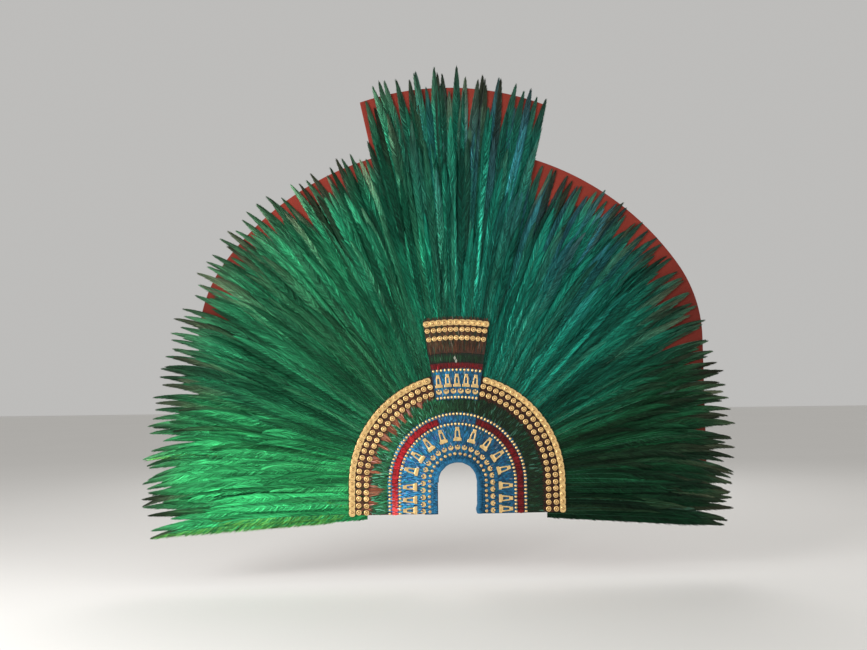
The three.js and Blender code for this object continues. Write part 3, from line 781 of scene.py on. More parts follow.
def stepped_plate_master(scale=1.0):
    """A plate with a wide foot, a narrow head and a window, cut from a grid."""
    cells = len(PLATE_ROWS) - 1
    bm = bmesh.new()
    bmesh.ops.create_grid(bm, x_segments=cells, y_segments=cells, size=cells / 2)
    cut = []
    for f in bm.faces:
        middle = f.calc_center_median()
        row, column = round(middle.y + (cells - 1) / 2), round(middle.x + (cells - 1) / 2)
        if (row > 0 and column in (0, cells - 1)) or (row, column) == (2, 2):
            cut.append(f)
    bmesh.ops.delete(bm, geom=cut, context="FACES")
    for v in bm.verts:
        y, *halves = PLATE_ROWS[round(v.co.y + cells / 2)]
        column = round(v.co.x + cells / 2)
        half = halves[min(column, cells - column)]
        v.co.xy = half * MM * scale * (1 if column > cells / 2 else -1), y * MM * scale
    out = bmesh.ops.extrude_face_region(bm, geom=bm.faces[:])
    top = [g for g in out["geom"] if isinstance(g, bmesh.types.BMVert)]
    bmesh.ops.translate(bm, verts=top, vec=(0, 0, 1.5 * MM))
    for v in top:
        if v.co.y < FOOT_BAR_Y * MM * scale:
            v.co.z += 0.7 * MM
    bmesh.ops.dissolve_limit(bm, angle_limit=0.01, verts=bm.verts[:], edges=bm.edges[:])
    rim = [e for e in bm.edges if all(v.co.z > MM for v in e.verts) and e.calc_face_angle(0) > 1]
    bmesh.ops.bevel(bm, geom=rim, offset=0.55 * MM, segments=2, profile=0.5, affect="EDGES", material=-1)
    bmesh.ops.recalc_face_normals(bm, faces=bm.faces[:])
    return arrays_of(bm)


# Places on the arch and the crown


def arch_places(r, distances):
    """Points at those distances along a ring from its right foot: x, y, the way along and the way inwards."""
    r = np.broadcast_to(r, np.shape(distances))
    turned = np.clip((distances - ARCH_Y) / r, 0, math.pi)
    past = np.maximum(0, distances - ARCH_Y - math.pi * r)
    x = r * np.cos(turned)
    y = np.minimum(distances, ARCH_Y) + r * np.sin(turned) - past
    zero = np.zeros_like(x)
    along = np.stack([-np.sin(turned), np.cos(turned), zero], 1)
    inward = np.stack([-np.cos(turned), -np.sin(turned), zero], 1)
    return x, y, along, inward


def arch_length(r):
    return 2 * ARCH_Y + math.pi * r


def crown_places(r, angles):
    """Points on a curve of the crown, by angle from straight up, left to right."""
    x = r * np.sin(angles)
    y = CROWN_Y + r * np.cos(angles)
    zero = np.zeros_like(x)
    along = np.stack([np.cos(angles), -np.sin(angles), zero], 1)
    down = np.stack([-np.sin(angles), -np.cos(angles), zero], 1)
    return x, y, along, down


def crown_edge_x(y):
    return (y - CROWN_Y) * math.tan(CROWN_HALF)


def reach_at(table, deg):
    return float(np.interp(deg, [row[0] for row in table], [row[1] for row in table]))


# Plumes


BEND_CHANCE = 0.007  # how far plumes bend and hook by chance, in metres at the tip
VANE_FOLD = 0.14  # how far a vane falls back from its shaft for each metre outwards
UNDER_BARBS = 0.0011  # how far the smooth vane lies behind the shaft
LAST_LOCK = 0.975  # the share of the length where the last lock of barbs starts
LOOSE, ASTRAY = 0.05, 0.10  # the shares of locks that stand up and that lie across


class Plume:
    """The line of one plume, from under the bands to its tip, and the vane on either side of its shaft."""

    root_r = 0.27

    def __init__(self, rng, settings, deg, reach, layer, full_reach, slim=1.0):
        past = deg / LOWEST_RIGHT if deg < 0 else max(0.0, (deg - 180) / (LOWEST_LEFT - 180))
        on_arch = math.radians(min(180.0, max(0.0, deg)))
        foot = np.array([ROOTS_R * math.cos(on_arch), ARCH_Y * (1 - past) + ROOTS_R * math.sin(on_arch)])
        turned = math.radians(deg)
        tip = np.array([reach * math.cos(turned), ARCH_Y + reach * math.sin(turned)])
        self.ahead = (tip - foot) / np.linalg.norm(tip - foot)
        self.side = np.array([-self.ahead[1], self.ahead[0]])
        self.root = foot + self.ahead * (self.root_r - ROOTS_R)
        self.length = float(np.linalg.norm(tip - self.root))
        self.settings, self.layer, self.slim = settings, layer, slim
        self.reach, self.full_reach = reach, full_reach
        self.droop = -math.cos(turned)
        sag = self.droop if 0 < deg < 180 else 0.25 * self.droop
        self.bend = rng.normal(0, BEND_CHANCE) + 0.016 * sag
        self.hook = rng.normal(0, BEND_CHANCE) + 0.036 * sag * (reach / 0.9) ** 2
        self.roll = rng.normal(0, settings.roll)
        self.drift = rng.normal(0, 0.0010)
        self.number = rng.uniform(1, 900)
        self.sweep = rng.uniform(0.75, 1.35)
        near_crown = max(0.0, 1 - abs(deg - 91.5) / 30)
        self.seat_r = 0.335 + 0.175 * min(1.0, near_crown * 1.8)

    def height(self, s):
        layer = self.layer
        r = self.root_r + s
        rise = np.clip((r - self.seat_r) / 0.20, 0, 1)
        rise = rise * rise * (3 - 2 * rise)
        fall = np.clip((r - 0.60 * self.reach) / (0.40 * self.reach), 0, 1)
        belly = layer["belly"] + self.drift
        return layer["seat"] + (belly - layer["seat"]) * rise + (layer["tip"] - layer["belly"]) * fall

    def width(self, s):
        """Half the vane's width, which narrows to the tip."""
        crowd = np.clip(s / 0.35, 0, 1)
        full = self.settings.vane_at_root + (self.settings.vane - self.settings.vane_at_root) * crowd
        return full * self.slim * (1 - self.near_tip(s)) ** 0.62

    def near_tip(self, s):
        return 1 - np.clip((self.length - s) / self.settings.lance, 0, 1)

    def lean(self, s, sign):
        """How far a barb runs forward for each metre out: less on the hanging side, more near the tip."""
        return self.sweep * (2.6 - 0.75 * self.droop * sign) + 2.2 * self.near_tip(s)

    def place(self, s, t, n):
        """Points s along the shaft, t to its left and n out of the vane."""
        share = np.clip(s / self.length, 0, 1.1)
        turn = self.roll * np.clip((self.root_r + s - self.seat_r) / 0.1, 0.15, 1)
        across = t * np.cos(turn) - n * np.sin(turn) + self.bend * share**2.4 + self.hook * share**7
        out = self.height(s) + t * np.sin(turn) + n * np.cos(turn)
        flat = self.root + s[..., None] * self.ahead + across[..., None] * self.side
        return np.concatenate([flat, np.maximum(out, BOARD_FRONT + 0.0004)[..., None]], -1)

    def tones(self, s, tone, across, by_lock):
        """The plume's draw, the share across the vane or along a lock, the lock's draw, the fan's share."""
        full = np.clip((self.root_r + s) / self.full_reach, 0, 1)
        return np.stack([np.broadcast_to(value, s.shape) for value in (tone, across, by_lock, full)], -1)


def barb_locks(heap, rng, line, barb, tone, sides=(1, -1), pitch=None, stretch=1.0, start=0.0):
    """Fine locks of barbs down the sides of one plume, from the share start of its length."""
    verts, tris, slots = barb
    b, a = verts[:, 0][None], verts[:, 1][None]
    many = int(line.length / (pitch or line.settings.barb_pitch))
    for sign in sides:
        shares = (np.arange(many) + rng.uniform(-0.45, 0.45, many)) / many
        s0 = (start + (1 - start) * shares) * line.length * LAST_LOCK
        ahead = line.width(s0) * line.lean(s0, sign)
        grown = rng.uniform(0.82, 1.14, many) * (1 + 0.14 * line.droop * sign) * stretch
        width = line.width(np.minimum(s0 + 0.85 * ahead, line.length)) * grown
        astray = np.where(rng.random(many) < ASTRAY, rng.uniform(0.1, 0.6, many), 1.0)
        advance = ahead * rng.uniform(0.8, 1.2, many) * astray + 0.003
        smooth = line.near_tip(s0)
        loose = rng.random(many) < LOOSE
        lift = rng.normal(0.0003, 0.0005, many) + loose * rng.uniform(0.001, 0.003, many)
        lift *= 1 - 0.8 * smooth
        twist = rng.normal(0, 0.16, many) * (1 - 0.7 * smooth)
        s = s0[:, None] + advance[:, None] * (0.72 * a + 0.28 * a * a)
        t = sign * width[:, None] * (1.4 * a - 0.4 * a * a)
        ds = advance[:, None] * (0.72 + 0.56 * a)
        dt = sign * width[:, None] * (1.4 - 0.8 * a)
        norm = np.hypot(ds, dt)
        half = line.settings.barb_width * (0.6 + 0.4 * np.minimum(1, width[:, None] / 0.012))
        s = np.minimum(s - dt / norm * b * half, line.length)
        t = t + ds / norm * b * half
        n = -VANE_FOLD * np.abs(t) + lift[:, None] * a + b * half * twist[:, None]
        by_four = np.repeat(rng.uniform(0, 1, many // 4 + 1), 4)[:many]
        by_lock = 0.25 * by_four + 0.75 * rng.uniform(0, 1, many)
        tones = line.tones(s, tone, 0.5 * a, by_lock[:, None])
        root = np.broadcast_to(s0[:, None], s.shape)
        vanes = np.stack([root, np.abs(t), np.full(s.shape, line.number)], -1)
        all_tris = (tris[None] + (np.arange(many) * len(verts))[:, None, None]).reshape(-1, 3)
        places = line.place(s, t, n).reshape(-1, 3)
        heap.take(places, all_tris, np.tile(slots, many), tones.reshape(-1, 4), vanes.reshape(-1, 3))


def plume(heap, rng, settings, masters, deg, reach, layer, full_reach, tone=None, slim=1.0):
    """One plume: a smooth vane that ends in a point, locks of barbs over it, and a shaft."""
    barb, vane, shaft = masters
    line = Plume(rng, settings, deg, reach, layer, full_reach, slim)
    drawn = rng.uniform(0, 0.97)
    tone = drawn if tone is None else tone
    verts, tris, slots = vane
    s = verts[:, 1] * line.length
    t = verts[:, 0] * line.width(s) * 0.92
    lean = np.where(t > 0, line.lean(s, 1), line.lean(s, -1))
    vanes = np.stack([s - lean * np.abs(t), np.abs(t), np.full(len(s), line.number)], -1)
    tones = line.tones(s, tone, np.abs(verts[:, 0]), 0.05)
    heap.take(line.place(s, t, -UNDER_BARBS - VANE_FOLD * np.abs(t)), tris, slots, tones, vanes)
    barb_locks(heap, rng, line, barb, tone)
    verts, tris, slots = shaft
    taper = (1.0 - 0.85 * verts[:, 2]) * MM * 0.8
    s = verts[:, 2] * line.length * 0.985
    at = line.place(s, verts[:, 0] * taper, verts[:, 1] * taper + 0.0003)
    heap.take(at, tris, slots, line.tones(s, tone, 0.5, 0.5))
    return line


def shaft_master(steps=10):
    """A three-sided tapering shaft along z from 0 to 1, of unit radius."""
    bm = bmesh.new()
    bmesh.ops.create_cone(bm, cap_ends=True, segments=3, radius1=1, radius2=1, depth=1)
    bmesh.ops.rotate(bm, verts=bm.verts[:], matrix=Matrix.Rotation(math.pi / 2, 3, "Z"))
    bmesh.ops.translate(bm, verts=bm.verts[:], vec=(0, 0, 0.5))
    for share in frange(0, 1, steps)[1:-1]:
        cut(bm, (0, 0, share), (0, 0, 1))
    for f in bm.faces:
        f.material_index = 1
    return arrays_of(bm)


# Short feathers


OUT = np.array([0.0, 0.0, 1.0])  # towards the viewer
FEATHER_THICK = 0.0011
ROW_FOOT_Y = 0.003  # where a row's lowest feather may lie
CROWN_MARGIN = 0.004  # between short feathers and the crown panel's sides


def short_feathers(
        heap, rng, blade, places, rows, spacing, size, low, tips_up=0.0012, sway=0.16, second=(0.0, 1.0)):
    """Rows of short feathers that lap like tiles with their tips inwards.

    places gives a row's points by its radius, size is a feather's length and half width, and second is the
    range of the draw that picks the accents.
    """
    verts, tris, _ = blade
    length, half = size
    feather = (verts * [half, length, FEATHER_THICK], tris, np.zeros(len(tris), int))
    for r in rows:
        x, y, along, inward = places(r, spacing, rng)
        many = len(x)
        turn = rng.normal(0, sway, many)[:, None]
        grown = rng.uniform(0.82, 1.2, many)[:, None]
        ups = inward * np.cos(turn) + along * np.sin(turn)
        ups[:, 2] = tips_up / length * rng.uniform(0.5, 1.5, many)
        ups = unit(ups)
        rights = unit(np.cross(ups, OUT))
        origins = np.stack([x, y, np.full(many, low)], 1) - ups * length * 0.5
        heap.stamp(feather, origins, rights * grown, ups * grown, along_tones(rng, many, verts, second))


def along_tones(rng, many, verts, second=(0.0, 1.0)):
    """A tone for each corner of each feather: by feather, from root to tip, and a second draw by feather."""
    tones = np.empty((many, len(verts), 3))
    tones[:, :, 0] = rng.uniform(0, 1, many)[:, None]
    tones[:, :, 1] = verts[:, 1][None]
    tones[:, :, 2] = rng.uniform(*second, many)[:, None]
    return tones


def arch_rows(r, spacing, rng):
    length = arch_length(r) - 2 * ROW_FOOT_Y
    many = max(2, int(length / spacing))
    x, y, along, inward = arch_places(r, ROW_FOOT_Y + jittered(rng, many, 0.3) * length)
    clear = np.abs(x) > (crown_edge_x(y) + CROWN_MARGIN) * (y > CROWN_FROM_Y)
    return x[clear], y[clear], along[clear], inward[clear]


def crown_rows(r, spacing, rng):
    half = CROWN_HALF - CROWN_MARGIN / r
    many = max(2, int(2 * half * r / spacing))
    return crown_places(r, -half + jittered(rng, many, 0.3) * 2 * half)


def netting(heap, bm):
    """What the feathers are tied to, in the heap's second material."""
    verts, tris, slots = arrays_of(bm)
    heap.take(verts, tris, slots + 1, np.full((len(verts), 3), 0.3))


# Operators


def settings_of(context):
    return context.scene.headdress


# The board: a domed tab on a wide arc, rounded into straight sides, with a notch at the opening.
BOARD = {
    "arc_r": 0.848, "arc_y": 0.268, "corner_r": 0.4, "corner": math.radians(35), "tab_top_half": 0.286,
    "tab_top_y": 1.252, "tab_foot_half": 0.248, "dome_r": 0.843, "notch_r": 0.062,
}


class Headdress(bpy.types.PropertyGroup):
    plumes: PointerProperty(type=HeaddressPlumeSettings)
    bands: PointerProperty(type=HeaddressBandSettings)
    gold: PointerProperty(type=HeaddressGoldSettings)
    stage: PointerProperty(type=HeaddressStageSettings)


class HEADDRESS_OT_board(bpy.types.Operator):
    """Builds the backing board with its soft edge, covered in red cloth"""

    bl_idname = "headdress.board"
    bl_label = "Backing board"

    def execute(self, context):
        arc_r, arc_y, corner_r, corner = BOARD["arc_r"], BOARD["arc_y"], BOARD["corner_r"], BOARD["corner"]
        dome_r, top_half, notch_r = BOARD["dome_r"], BOARD["tab_top_half"], BOARD["notch_r"]
        corner_x = (arc_r - corner_r) * math.cos(corner)
        corner_y = arc_y + (arc_r - corner_r) * math.sin(corner)
        foot = math.acos(BOARD["tab_foot_half"] / arc_r)
        dome_y = BOARD["tab_top_y"] - math.sqrt(dome_r**2 - top_half**2)
        dome = math.acos(top_half / dome_r)
        right = [
            (corner_x + corner_r, 0.0), *arc(corner_y, corner_r, 0, corner, 14, corner_x),
            *arc(arc_y, arc_r, corner, foot, 28)[1:]]
        top = arc(dome_y, dome_r, dome, math.pi - dome, 24)
        left = [(-x, y) for x, y in reversed(right)]
        notch = arc(ARCH_Y, notch_r, math.pi, 0, 32)
        outline = [*right, *top, *left, (-notch_r, 0.0), *notch, (notch_r, 0.0)]
        bm = bmesh.new()
        face = bm.faces.new([bm.verts.new((x, y, 0)) for x, y in outline])
        out = bmesh.ops.extrude_face_region(bm, geom=[face], use_keep_orig=True)
        front = [g for g in out["geom"] if isinstance(g, bmesh.types.BMVert)]
        bmesh.ops.translate(bm, verts=front, vec=(0, 0, BOARD_FRONT))
        bmesh.ops.recalc_face_normals(bm, faces=bm.faces[:])
        rim = [e for e in bm.edges if abs(e.verts[0].co.z - e.verts[1].co.z) < 1e-6]
        bmesh.ops.bevel(bm, geom=rim, offset=1.8 * MM, segments=3, profile=0.5, affect="EDGES", material=-1)
        bmesh.ops.triangulate(bm, faces=bm.faces[:])
        cloth = cloth_material(settings_of(context).stage.board)
        stand("board_cloth", mesh_of("board", bm), [cloth], ["backing_board"])
        return {"FINISHED"}


class HEADDRESS_OT_plumes(bpy.types.Operator):
    """Builds every plume of the fans and the crest, lock by lock, and the dark feathers under them"""

    bl_idname = "headdress.plumes"
    bl_label = "Plumes"

    def execute(self, context):
        settings = settings_of(context).plumes
        materials = [plume_material(settings), shaft_material()]
        masters = barb_master(), vane_master(), shaft_master()
        pitch = math.degrees(settings.pitch)
        for number, spread in enumerate(SPREADS):
            heaps = {"rear": Heap(), "front": Heap()}
            for depth, layer in enumerate(LAYERS):
                rng = np.random.default_rng(SEED + 10 * number + depth)
                closer = spread["closer"] * layer["closer"]
                many = round((spread["to"] - spread["from"]) / (pitch * closer))
                shares = jittered(rng, many, 0.32)
                shares[0], shares[-1] = rng.uniform(0.1, 0.4, 2) / many * [1, -1] + [0, 1]
                for share in rng.permutation(shares):
                    deg = spread["from"] + (spread["to"] - spread["from"]) * share
                    full = reach_at(spread["table"], deg)
                    reach = full * rng.uniform(layer["short"], layer["long"])
                    line = plume(heaps[layer["tier"]], rng, settings, masters, deg, reach, layer, full)
                    if share == shares[-1] and spread["name"] == "left":
                        # Extra barbs under the lowest left plume, in the lit fringe colour: partly painted
                        # highlight.
                        barb_locks(
                            heaps[layer["tier"]], rng, line, masters[0], 1.0, sides=(1,), pitch=0.0022,
                            stretch=1.25, start=0.15)
            if spread["name"] == "left":
                deg, reach, slim = LIT_PLUME["deg"], LIT_PLUME["reach"], LIT_PLUME["slim"]
                plume(
                    heaps["rear"], rng, settings, masters, deg, reach, LAYERS[1], reach, tone=1.0, slim=slim)
            for tier, heap in heaps.items():
                node = tier + "_plumes_" + spread["name"]
                heap.piece(node.replace("plumes", "feathers"), materials, [node], tier + "_plumes")
        self.under_feathers()
        return {"FINISHED"}

    def under_feathers(self):
        """A thin ribbed mat of dark feathers behind the plumes, so that no board shows between them; its dark
        colour is partly the deeper feathers, partly painted shade between the plumes.
        """
        bm = bmesh.new()
        columns, rows = 198, 9
        bmesh.ops.create_grid(bm, x_segments=columns, y_segments=rows, size=0.5)
        low, high = SPREADS[2]["from"] + 1, SPREADS[0]["to"] - 1
        for v in bm.verts:
            column, row = round((v.co.x + 0.5) * columns), (v.co.y + 0.5)
            deg = high + (low - high) * column / columns
            table = CREST_REACH if 77.5 < deg < 106 else SIDE_REACH
            end = reach_at(table, deg) * (0.86 if column % 2 else 0.80)
            r = 0.075 + (end - 0.075) * row
            angle = math.radians(deg)
            rib = 0.0012 if column % 2 else 0
            v.co = (r * math.cos(angle), ARCH_Y + r * math.sin(angle), REAR_Z + 0.0012 + rib)
        for v in bm.verts:
            if v.co.y < 0:
                v.co.y *= 0.85
        bmesh.ops.recalc_face_normals(bm, faces=bm.faces[:])
        bmesh.ops.solidify(bm, geom=bm.faces[:], thickness=0.8 * MM)
        bmesh.ops.recalc_face_normals(bm, faces=bm.faces[:])
        bmesh.ops.triangulate(bm, faces=bm.faces[:])
        stand("under_feathers", mesh_of("under_feathers", bm), [shaded_under_material()], [])


# Accents of the short feathers: those whose second draw is above the limit have the colour instead.
BLUE_ACCENTS = [
    (0.78, (0.050, 0.140, 0.400)), (0.89, (0.030, 0.300, 0.340)), (0.955, (0.480, 0.600, 0.720)),
]
GREEN_ACCENTS = [(0.84, (0.030, 0.260, 0.110)), (0.95, (0.160, 0.520, 0.340))]
BROWN_ACCENTS = [(0.93, (0.260, 0.090, 0.050))]
RED_ACCENTS = [(0.90, (0.600, 0.040, 0.050))]
# In the tufts the pink accent stands in for highlights on single strands: painted highlight.
TUFT_ACCENTS = [(0.70, (0.400, 0.180, 0.100)), (0.90, (0.620, 0.300, 0.260))]
UMBER_ACCENTS = [(0.62, (0.060, 0.085, 0.045)), (0.965, (0.300, 0.270, 0.200))]

# The red band's place across, half the keystone's angle, and how far the blue border is rolled.
RED_INNER, RED_OUTER = 0.1782, 0.1978
RED_LOW = BAND_Z + 0.0034
KEYSTONE_HALF = math.radians(16.8)
BORDER_R = 0.074

# Tufts over the left half of the green ring: their distance from the left foot along the inner discs, their
# length and half their width at the root.
TUFTS = [
    {"at": 0.037, "length": 0.035, "half": 0.006}, {"at": 0.073, "length": 0.057, "half": 0.017},
    {"at": 0.131, "length": 0.048, "half": 0.005}, {"at": 0.166, "length": 0.039, "half": 0.013},
    {"at": 0.214, "length": 0.053, "half": 0.003}, {"at": 0.242, "length": 0.048, "half": 0.009},
    {"at": 0.275, "length": 0.048, "half": 0.011}, {"at": 0.300, "length": 0.037, "half": 0.008},
    {"at": 0.323, "length": 0.040, "half": 0.008}, {"at": 0.352, "length": 0.045, "half": 0.003},
    {"at": 0.393, "length": 0.031, "half": 0.009},
]
TUFT_ROOT_R = 0.2665


class HEADDRESS_OT_feather_bands(bpy.types.Operator):
    """Builds the blue, red, green and brown rings of short feathers round the opening"""

    bl_idname = "headdress.feather_bands"
    bl_label = "Feather bands"

    def execute(self, context):
        settings = settings_of(context).bands
        rng = np.random.default_rng(SEED + 101)
        blade = feather_master()
        blue = [
            short_feather_material("blue_feathers", settings.blue, settings.blue_left, BLUE_ACCENTS),
            backing_material("blue_netting", shade(settings.blue, 0.7)),
        ]
        self.blue_ring(blue, blade, rng)
        self.green_ring(settings, blade, rng)
        self.brown_ring(settings, blade, rng)
        self.red_band(settings, blade, rng)
        self.keystone(blue, blade, rng)
        return {"FINISHED"}

    def blue_ring(self, materials, blade, rng):
        """The blue field, which turns down to the board at the opening, with a soft rolled border."""
        heap = Heap()
        top = BAND_Z + 0.0026
        netting(heap, ring_slab(OPENING_R + 0.002, 0.2082, BAND_Z, top))
        netting(heap, ring_slab(OPENING_R + 0.002, ROOTS_R - 0.0006, REAR_Z, BAND_Z + 0.0010))
        bm = ring_slab(OPENING_R, BORDER_R, REAR_Z, BAND_Z + 0.0053, edge=0.0072, segments=5, steps=96)
        for y in frange(0, ARCH_Y, 30)[1:-1]:
            cut(bm, (0, y, 0), (0, 1, 0))
        for v in bm.verts:
            outwards = Vector((v.co.x, max(0.0, v.co.y - ARCH_Y), 0)).normalized()
            lobe = 3.5 * math.exp(-((v.co.y - 0.012) / 0.010) ** 2) if v.co.x > 0 else 0.0
            v.co += outwards * MM * (1.7 * noise.noise(v.co * 70) - lobe)
        verts, tris, slots = arrays_of(bm)
        heap.take(verts, tris, slots, np.full((len(verts), 3), 0.55))
        rows = np.arange(BORDER_R + 0.006, 0.205, 0.0062)
        short_feathers(heap, rng, blade, arch_rows, rows, 0.0048, (0.0135, 0.0021), top - 0.0002)
        short_feathers(heap, rng, blade, arch_rows, [0.0765, 0.0705, 0.0650], 0.0030, (0.0075, 0.0012),
                       BAND_Z + 0.0048, tips_up=0.0004, second=(0.0, 0.6))
        heap.piece("blue_feathers", materials, ["blue_field"], "blue_feathers")

    def green_ring(self, settings, blade, rng):
        materials = [
            short_feather_material("green_feathers", settings.green, settings.green_left, GREEN_ACCENTS),
            backing_material("green_netting", shade(settings.green, 0.7)),
        ]
        heap = Heap()
        top = BAND_Z + 0.0020
        netting(heap, self.without_crown(ring_slab(0.2090, 0.2614, BAND_Z, top)))
        rows = np.arange(0.214, 0.262, 0.0062)
        short_feathers(heap, rng, blade, arch_rows, rows, 0.0046, (0.024, 0.0018), top)

        def left_places(r, spacing, draw):
            x, y, along, inward = arch_rows(r, spacing, draw)
            left = x < -0.06
            return x[left], y[left], along[left], inward[left]

        short_feathers(
            heap, rng, blade, left_places, np.arange(0.222, 0.260, 0.0075), 0.0105, (0.026, 0.0009),
            top + 0.0006, tips_up=0.003, sway=0.36, second=(0.78, 1.0))
        heap.piece("green_feathers", materials, ["green_band"], "green_feathers")

    def brown_ring(self, settings, blade, rng):
        materials = [
            short_feather_material("brown_feathers", settings.brown, settings.brown_left, BROWN_ACCENTS),
            backing_material("brown_netting", shade(settings.brown, 0.6)),
            short_feather_material("brown_tufts", settings.tuft, settings.tuft, TUFT_ACCENTS),
        ]
        heap = Heap()
        top = BAND_Z + 0.0030
        netting(heap, self.without_crown(ring_slab(0.2620, 0.3238, BAND_Z, top)))
        rows = np.arange(0.266, 0.320, 0.0075)
        short_feathers(heap, rng, blade, arch_rows, rows, 0.0060, (0.014, 0.0026), top - 0.0002)
        short_feathers(
            heap, rng, blade, arch_rows, [0.2600], 0.0042, (0.0140, 0.0016), top - 0.0002, sway=0.24)
        for tuft in TUFTS:
            self.tuft(heap, tuft, blade, rng, top + 0.0004)
        nodes = ["brown_band_left", "brown_band_right"]
        heap.piece("brown_feathers", materials, nodes, "brown_feathers")

    def tuft(self, heap, tuft, blade, rng, low):
        """Long loose strands side by side, whose tips come together."""
        many = int(10 + tuft["half"] / 0.0005)
        aside = rng.uniform(-1, 1, many) * tuft["half"]
        length = tuft["length"] * rng.uniform(0.55, 1.0, many) * (1 - 0.35 * np.abs(aside) / tuft["half"])
        total = arch_length(TUFT_ROOT_R)
        x, y, along, inward = arch_places(TUFT_ROOT_R, total - tuft["at"] - aside)
        ups = inward + along * (aside * 0.55 / tuft["length"] + rng.normal(0, 0.07, many))[:, None]
        ups[:, 2] = rng.uniform(0.00, 0.10, many)
        ups = unit(ups)
        rights = unit(np.cross(ups, OUT))
        verts, tris, _ = blade
        strand = (verts * [0.0011, 1.0, 0.0010], tris, np.full(len(tris), 2))
        origins = np.stack([x, y, low + rng.uniform(0, 0.0015, many)], 1)
        heap.stamp(strand, origins, rights, ups * length[:, None], along_tones(rng, many, verts))

    def without_crown(self, bm):
        """Takes the crown panel's place out of a ring."""
        for sign in (1, -1):
            cut(bm, (0, CROWN_Y, 0), (sign * math.cos(CROWN_HALF), -math.sin(CROWN_HALF), 0))
        gone = []
        for f in bm.faces:
            middle = f.calc_center_median()
            far = math.hypot(middle.x, middle.y - CROWN_Y)
            if middle.y > 0.3 and abs(middle.x) < crown_edge_x(middle.y) and far > 0.4:
                gone.append(f)
        bmesh.ops.delete(bm, geom=gone, context="FACES")
        bmesh.ops.holes_fill(bm, edges=[e for e in bm.edges if e.is_boundary])
        bmesh.ops.recalc_face_normals(bm, faces=bm.faces[:])
        return bm

    def red_band(self, settings, blade, rng):
        """Plump ribs of red feathers side by side, with dark gaps between them: the netting, darkened as
        painted shade.
        """
        red, red_left, coral = settings.red, settings.red_left, settings.coral
        materials = [
            short_feather_material("red_feathers", red, red_left, RED_ACCENTS, foot=coral),
            backing_material("red_netting", shade(settings.red, 0.35)),
        ]
        heap = Heap()
        bm = ring_slab(RED_INNER, RED_OUTER, RED_LOW, RED_LOW + 0.0010, edge=0.0004)
        gone = []
        for f in bm.faces:
            middle = f.calc_center_median()
            if abs(math.atan2(middle.x, middle.y - ARCH_Y)) < KEYSTONE_HALF:
                gone.append(f)
        bmesh.ops.delete(bm, geom=gone, context="FACES")
        bmesh.ops.holes_fill(bm, edges=[e for e in bm.edges if e.is_boundary])
        bmesh.ops.recalc_face_normals(bm, faces=bm.faces[:])
        netting(heap, bm)

        def ribs(way):
            def places(r, spacing, draw):
                length = arch_length(r)
                many = int(length / spacing)
                x, y, along, inward = arch_places(r, (np.arange(many) + 0.5) / many * length)
                clear = (np.abs(np.arctan2(x, y - ARCH_Y)) > KEYSTONE_HALF + 0.02) | (y < ARCH_Y)
                return x[clear], y[clear], along[clear] * way, inward[clear] * way
            return places

        top = RED_LOW + 0.0010
        for way in (1, -1):
            short_feathers(heap, rng, blade, ribs(way), [0.1880], 0.0104, (0.0185, 0.0048), top, sway=0.03)
        short_feathers(
            heap, rng, blade, ribs(1), [0.1835, 0.1915], 0.0034, (0.0095, 0.0011), top + 0.0009, sway=0.14)
        heap.piece("red_feathers", materials, ["red_band_left", "red_band_right"], "red_feathers")

    def keystone(self, materials, blade, rng):
        """The blue piece at the top of the red band."""
        heap = Heap()
        netting(heap, ring_slab(
            RED_INNER, RED_OUTER, RED_LOW, RED_LOW + 0.0012, legs=False, half=KEYSTONE_HALF, edge=0.0004,
            steps=16))

        def places(r, spacing, draw):
            many = int(2 * KEYSTONE_HALF * r / spacing)
            inside = KEYSTONE_HALF - 0.012
            a = np.clip(jittered(draw, many, 0.3) * 2 * KEYSTONE_HALF - KEYSTONE_HALF, -inside, inside)
            zero = np.zeros_like(a)
            along = np.stack([np.cos(a), -np.sin(a), zero], 1)
            inward = np.stack([-np.sin(a), -np.cos(a), zero], 1)
            return r * np.sin(a), ARCH_Y + r * np.cos(a), along, inward

        rows = np.arange(0.184, 0.196, 0.005)
        short_feathers(heap, rng, blade, places, rows, 0.0046, (0.0105, 0.0020), RED_LOW + 0.0011)
        heap.piece("keystone_feathers", materials, ["blue_keystone"], "blue_feathers")


# The crown's fields from the lowest up: their place across, the rows' step, the feathers' spacing and size,
# and the settings that hold their colours.
CROWN_TOP = BAND_Z + 0.0070
CROWN_FIELDS = [
    {"node": "crown_blue_field", "slot": "blue_feathers", "inner": 0.4090, "outer": 0.4998, "step": 0.0062,
     "spacing": 0.0048, "size": (0.0135, 0.0021), "right": "blue", "left": "blue_left",
     "accents": BLUE_ACCENTS},
    {"node": "crown_red_band", "slot": "red_feathers", "inner": 0.5003, "outer": 0.5188, "step": 0.0060,
     "spacing": 0.0044, "size": (0.0125, 0.0018), "right": "red", "left": "red", "accents": RED_ACCENTS},
    {"node": "crown_green_band", "slot": "green_feathers", "inner": 0.5193, "outer": 0.5468, "step": 0.0064,
     "spacing": 0.0044, "size": (0.0220, 0.0017), "right": "green", "left": "green_left",
     "accents": [(0.94, (0.10, 0.22, 0.14))]},
    {"node": "crown_brown_field", "slot": "brown_feathers", "inner": 0.5473, "outer": 0.6518, "step": 0.0080,
     "spacing": 0.0042, "size": (0.0320, 0.0017), "right": "brown_left", "left": "umber",
     "accents": UMBER_ACCENTS},
]
# A pale quill end that shows below the middle of the brown field: x, y and turn of its two lobes.
PALE_QUILL = [{"x": -0.0045, "y": 0.4600, "turn": 0.10}, {"x": -0.0015, "y": 0.4510, "turn": -0.14}]


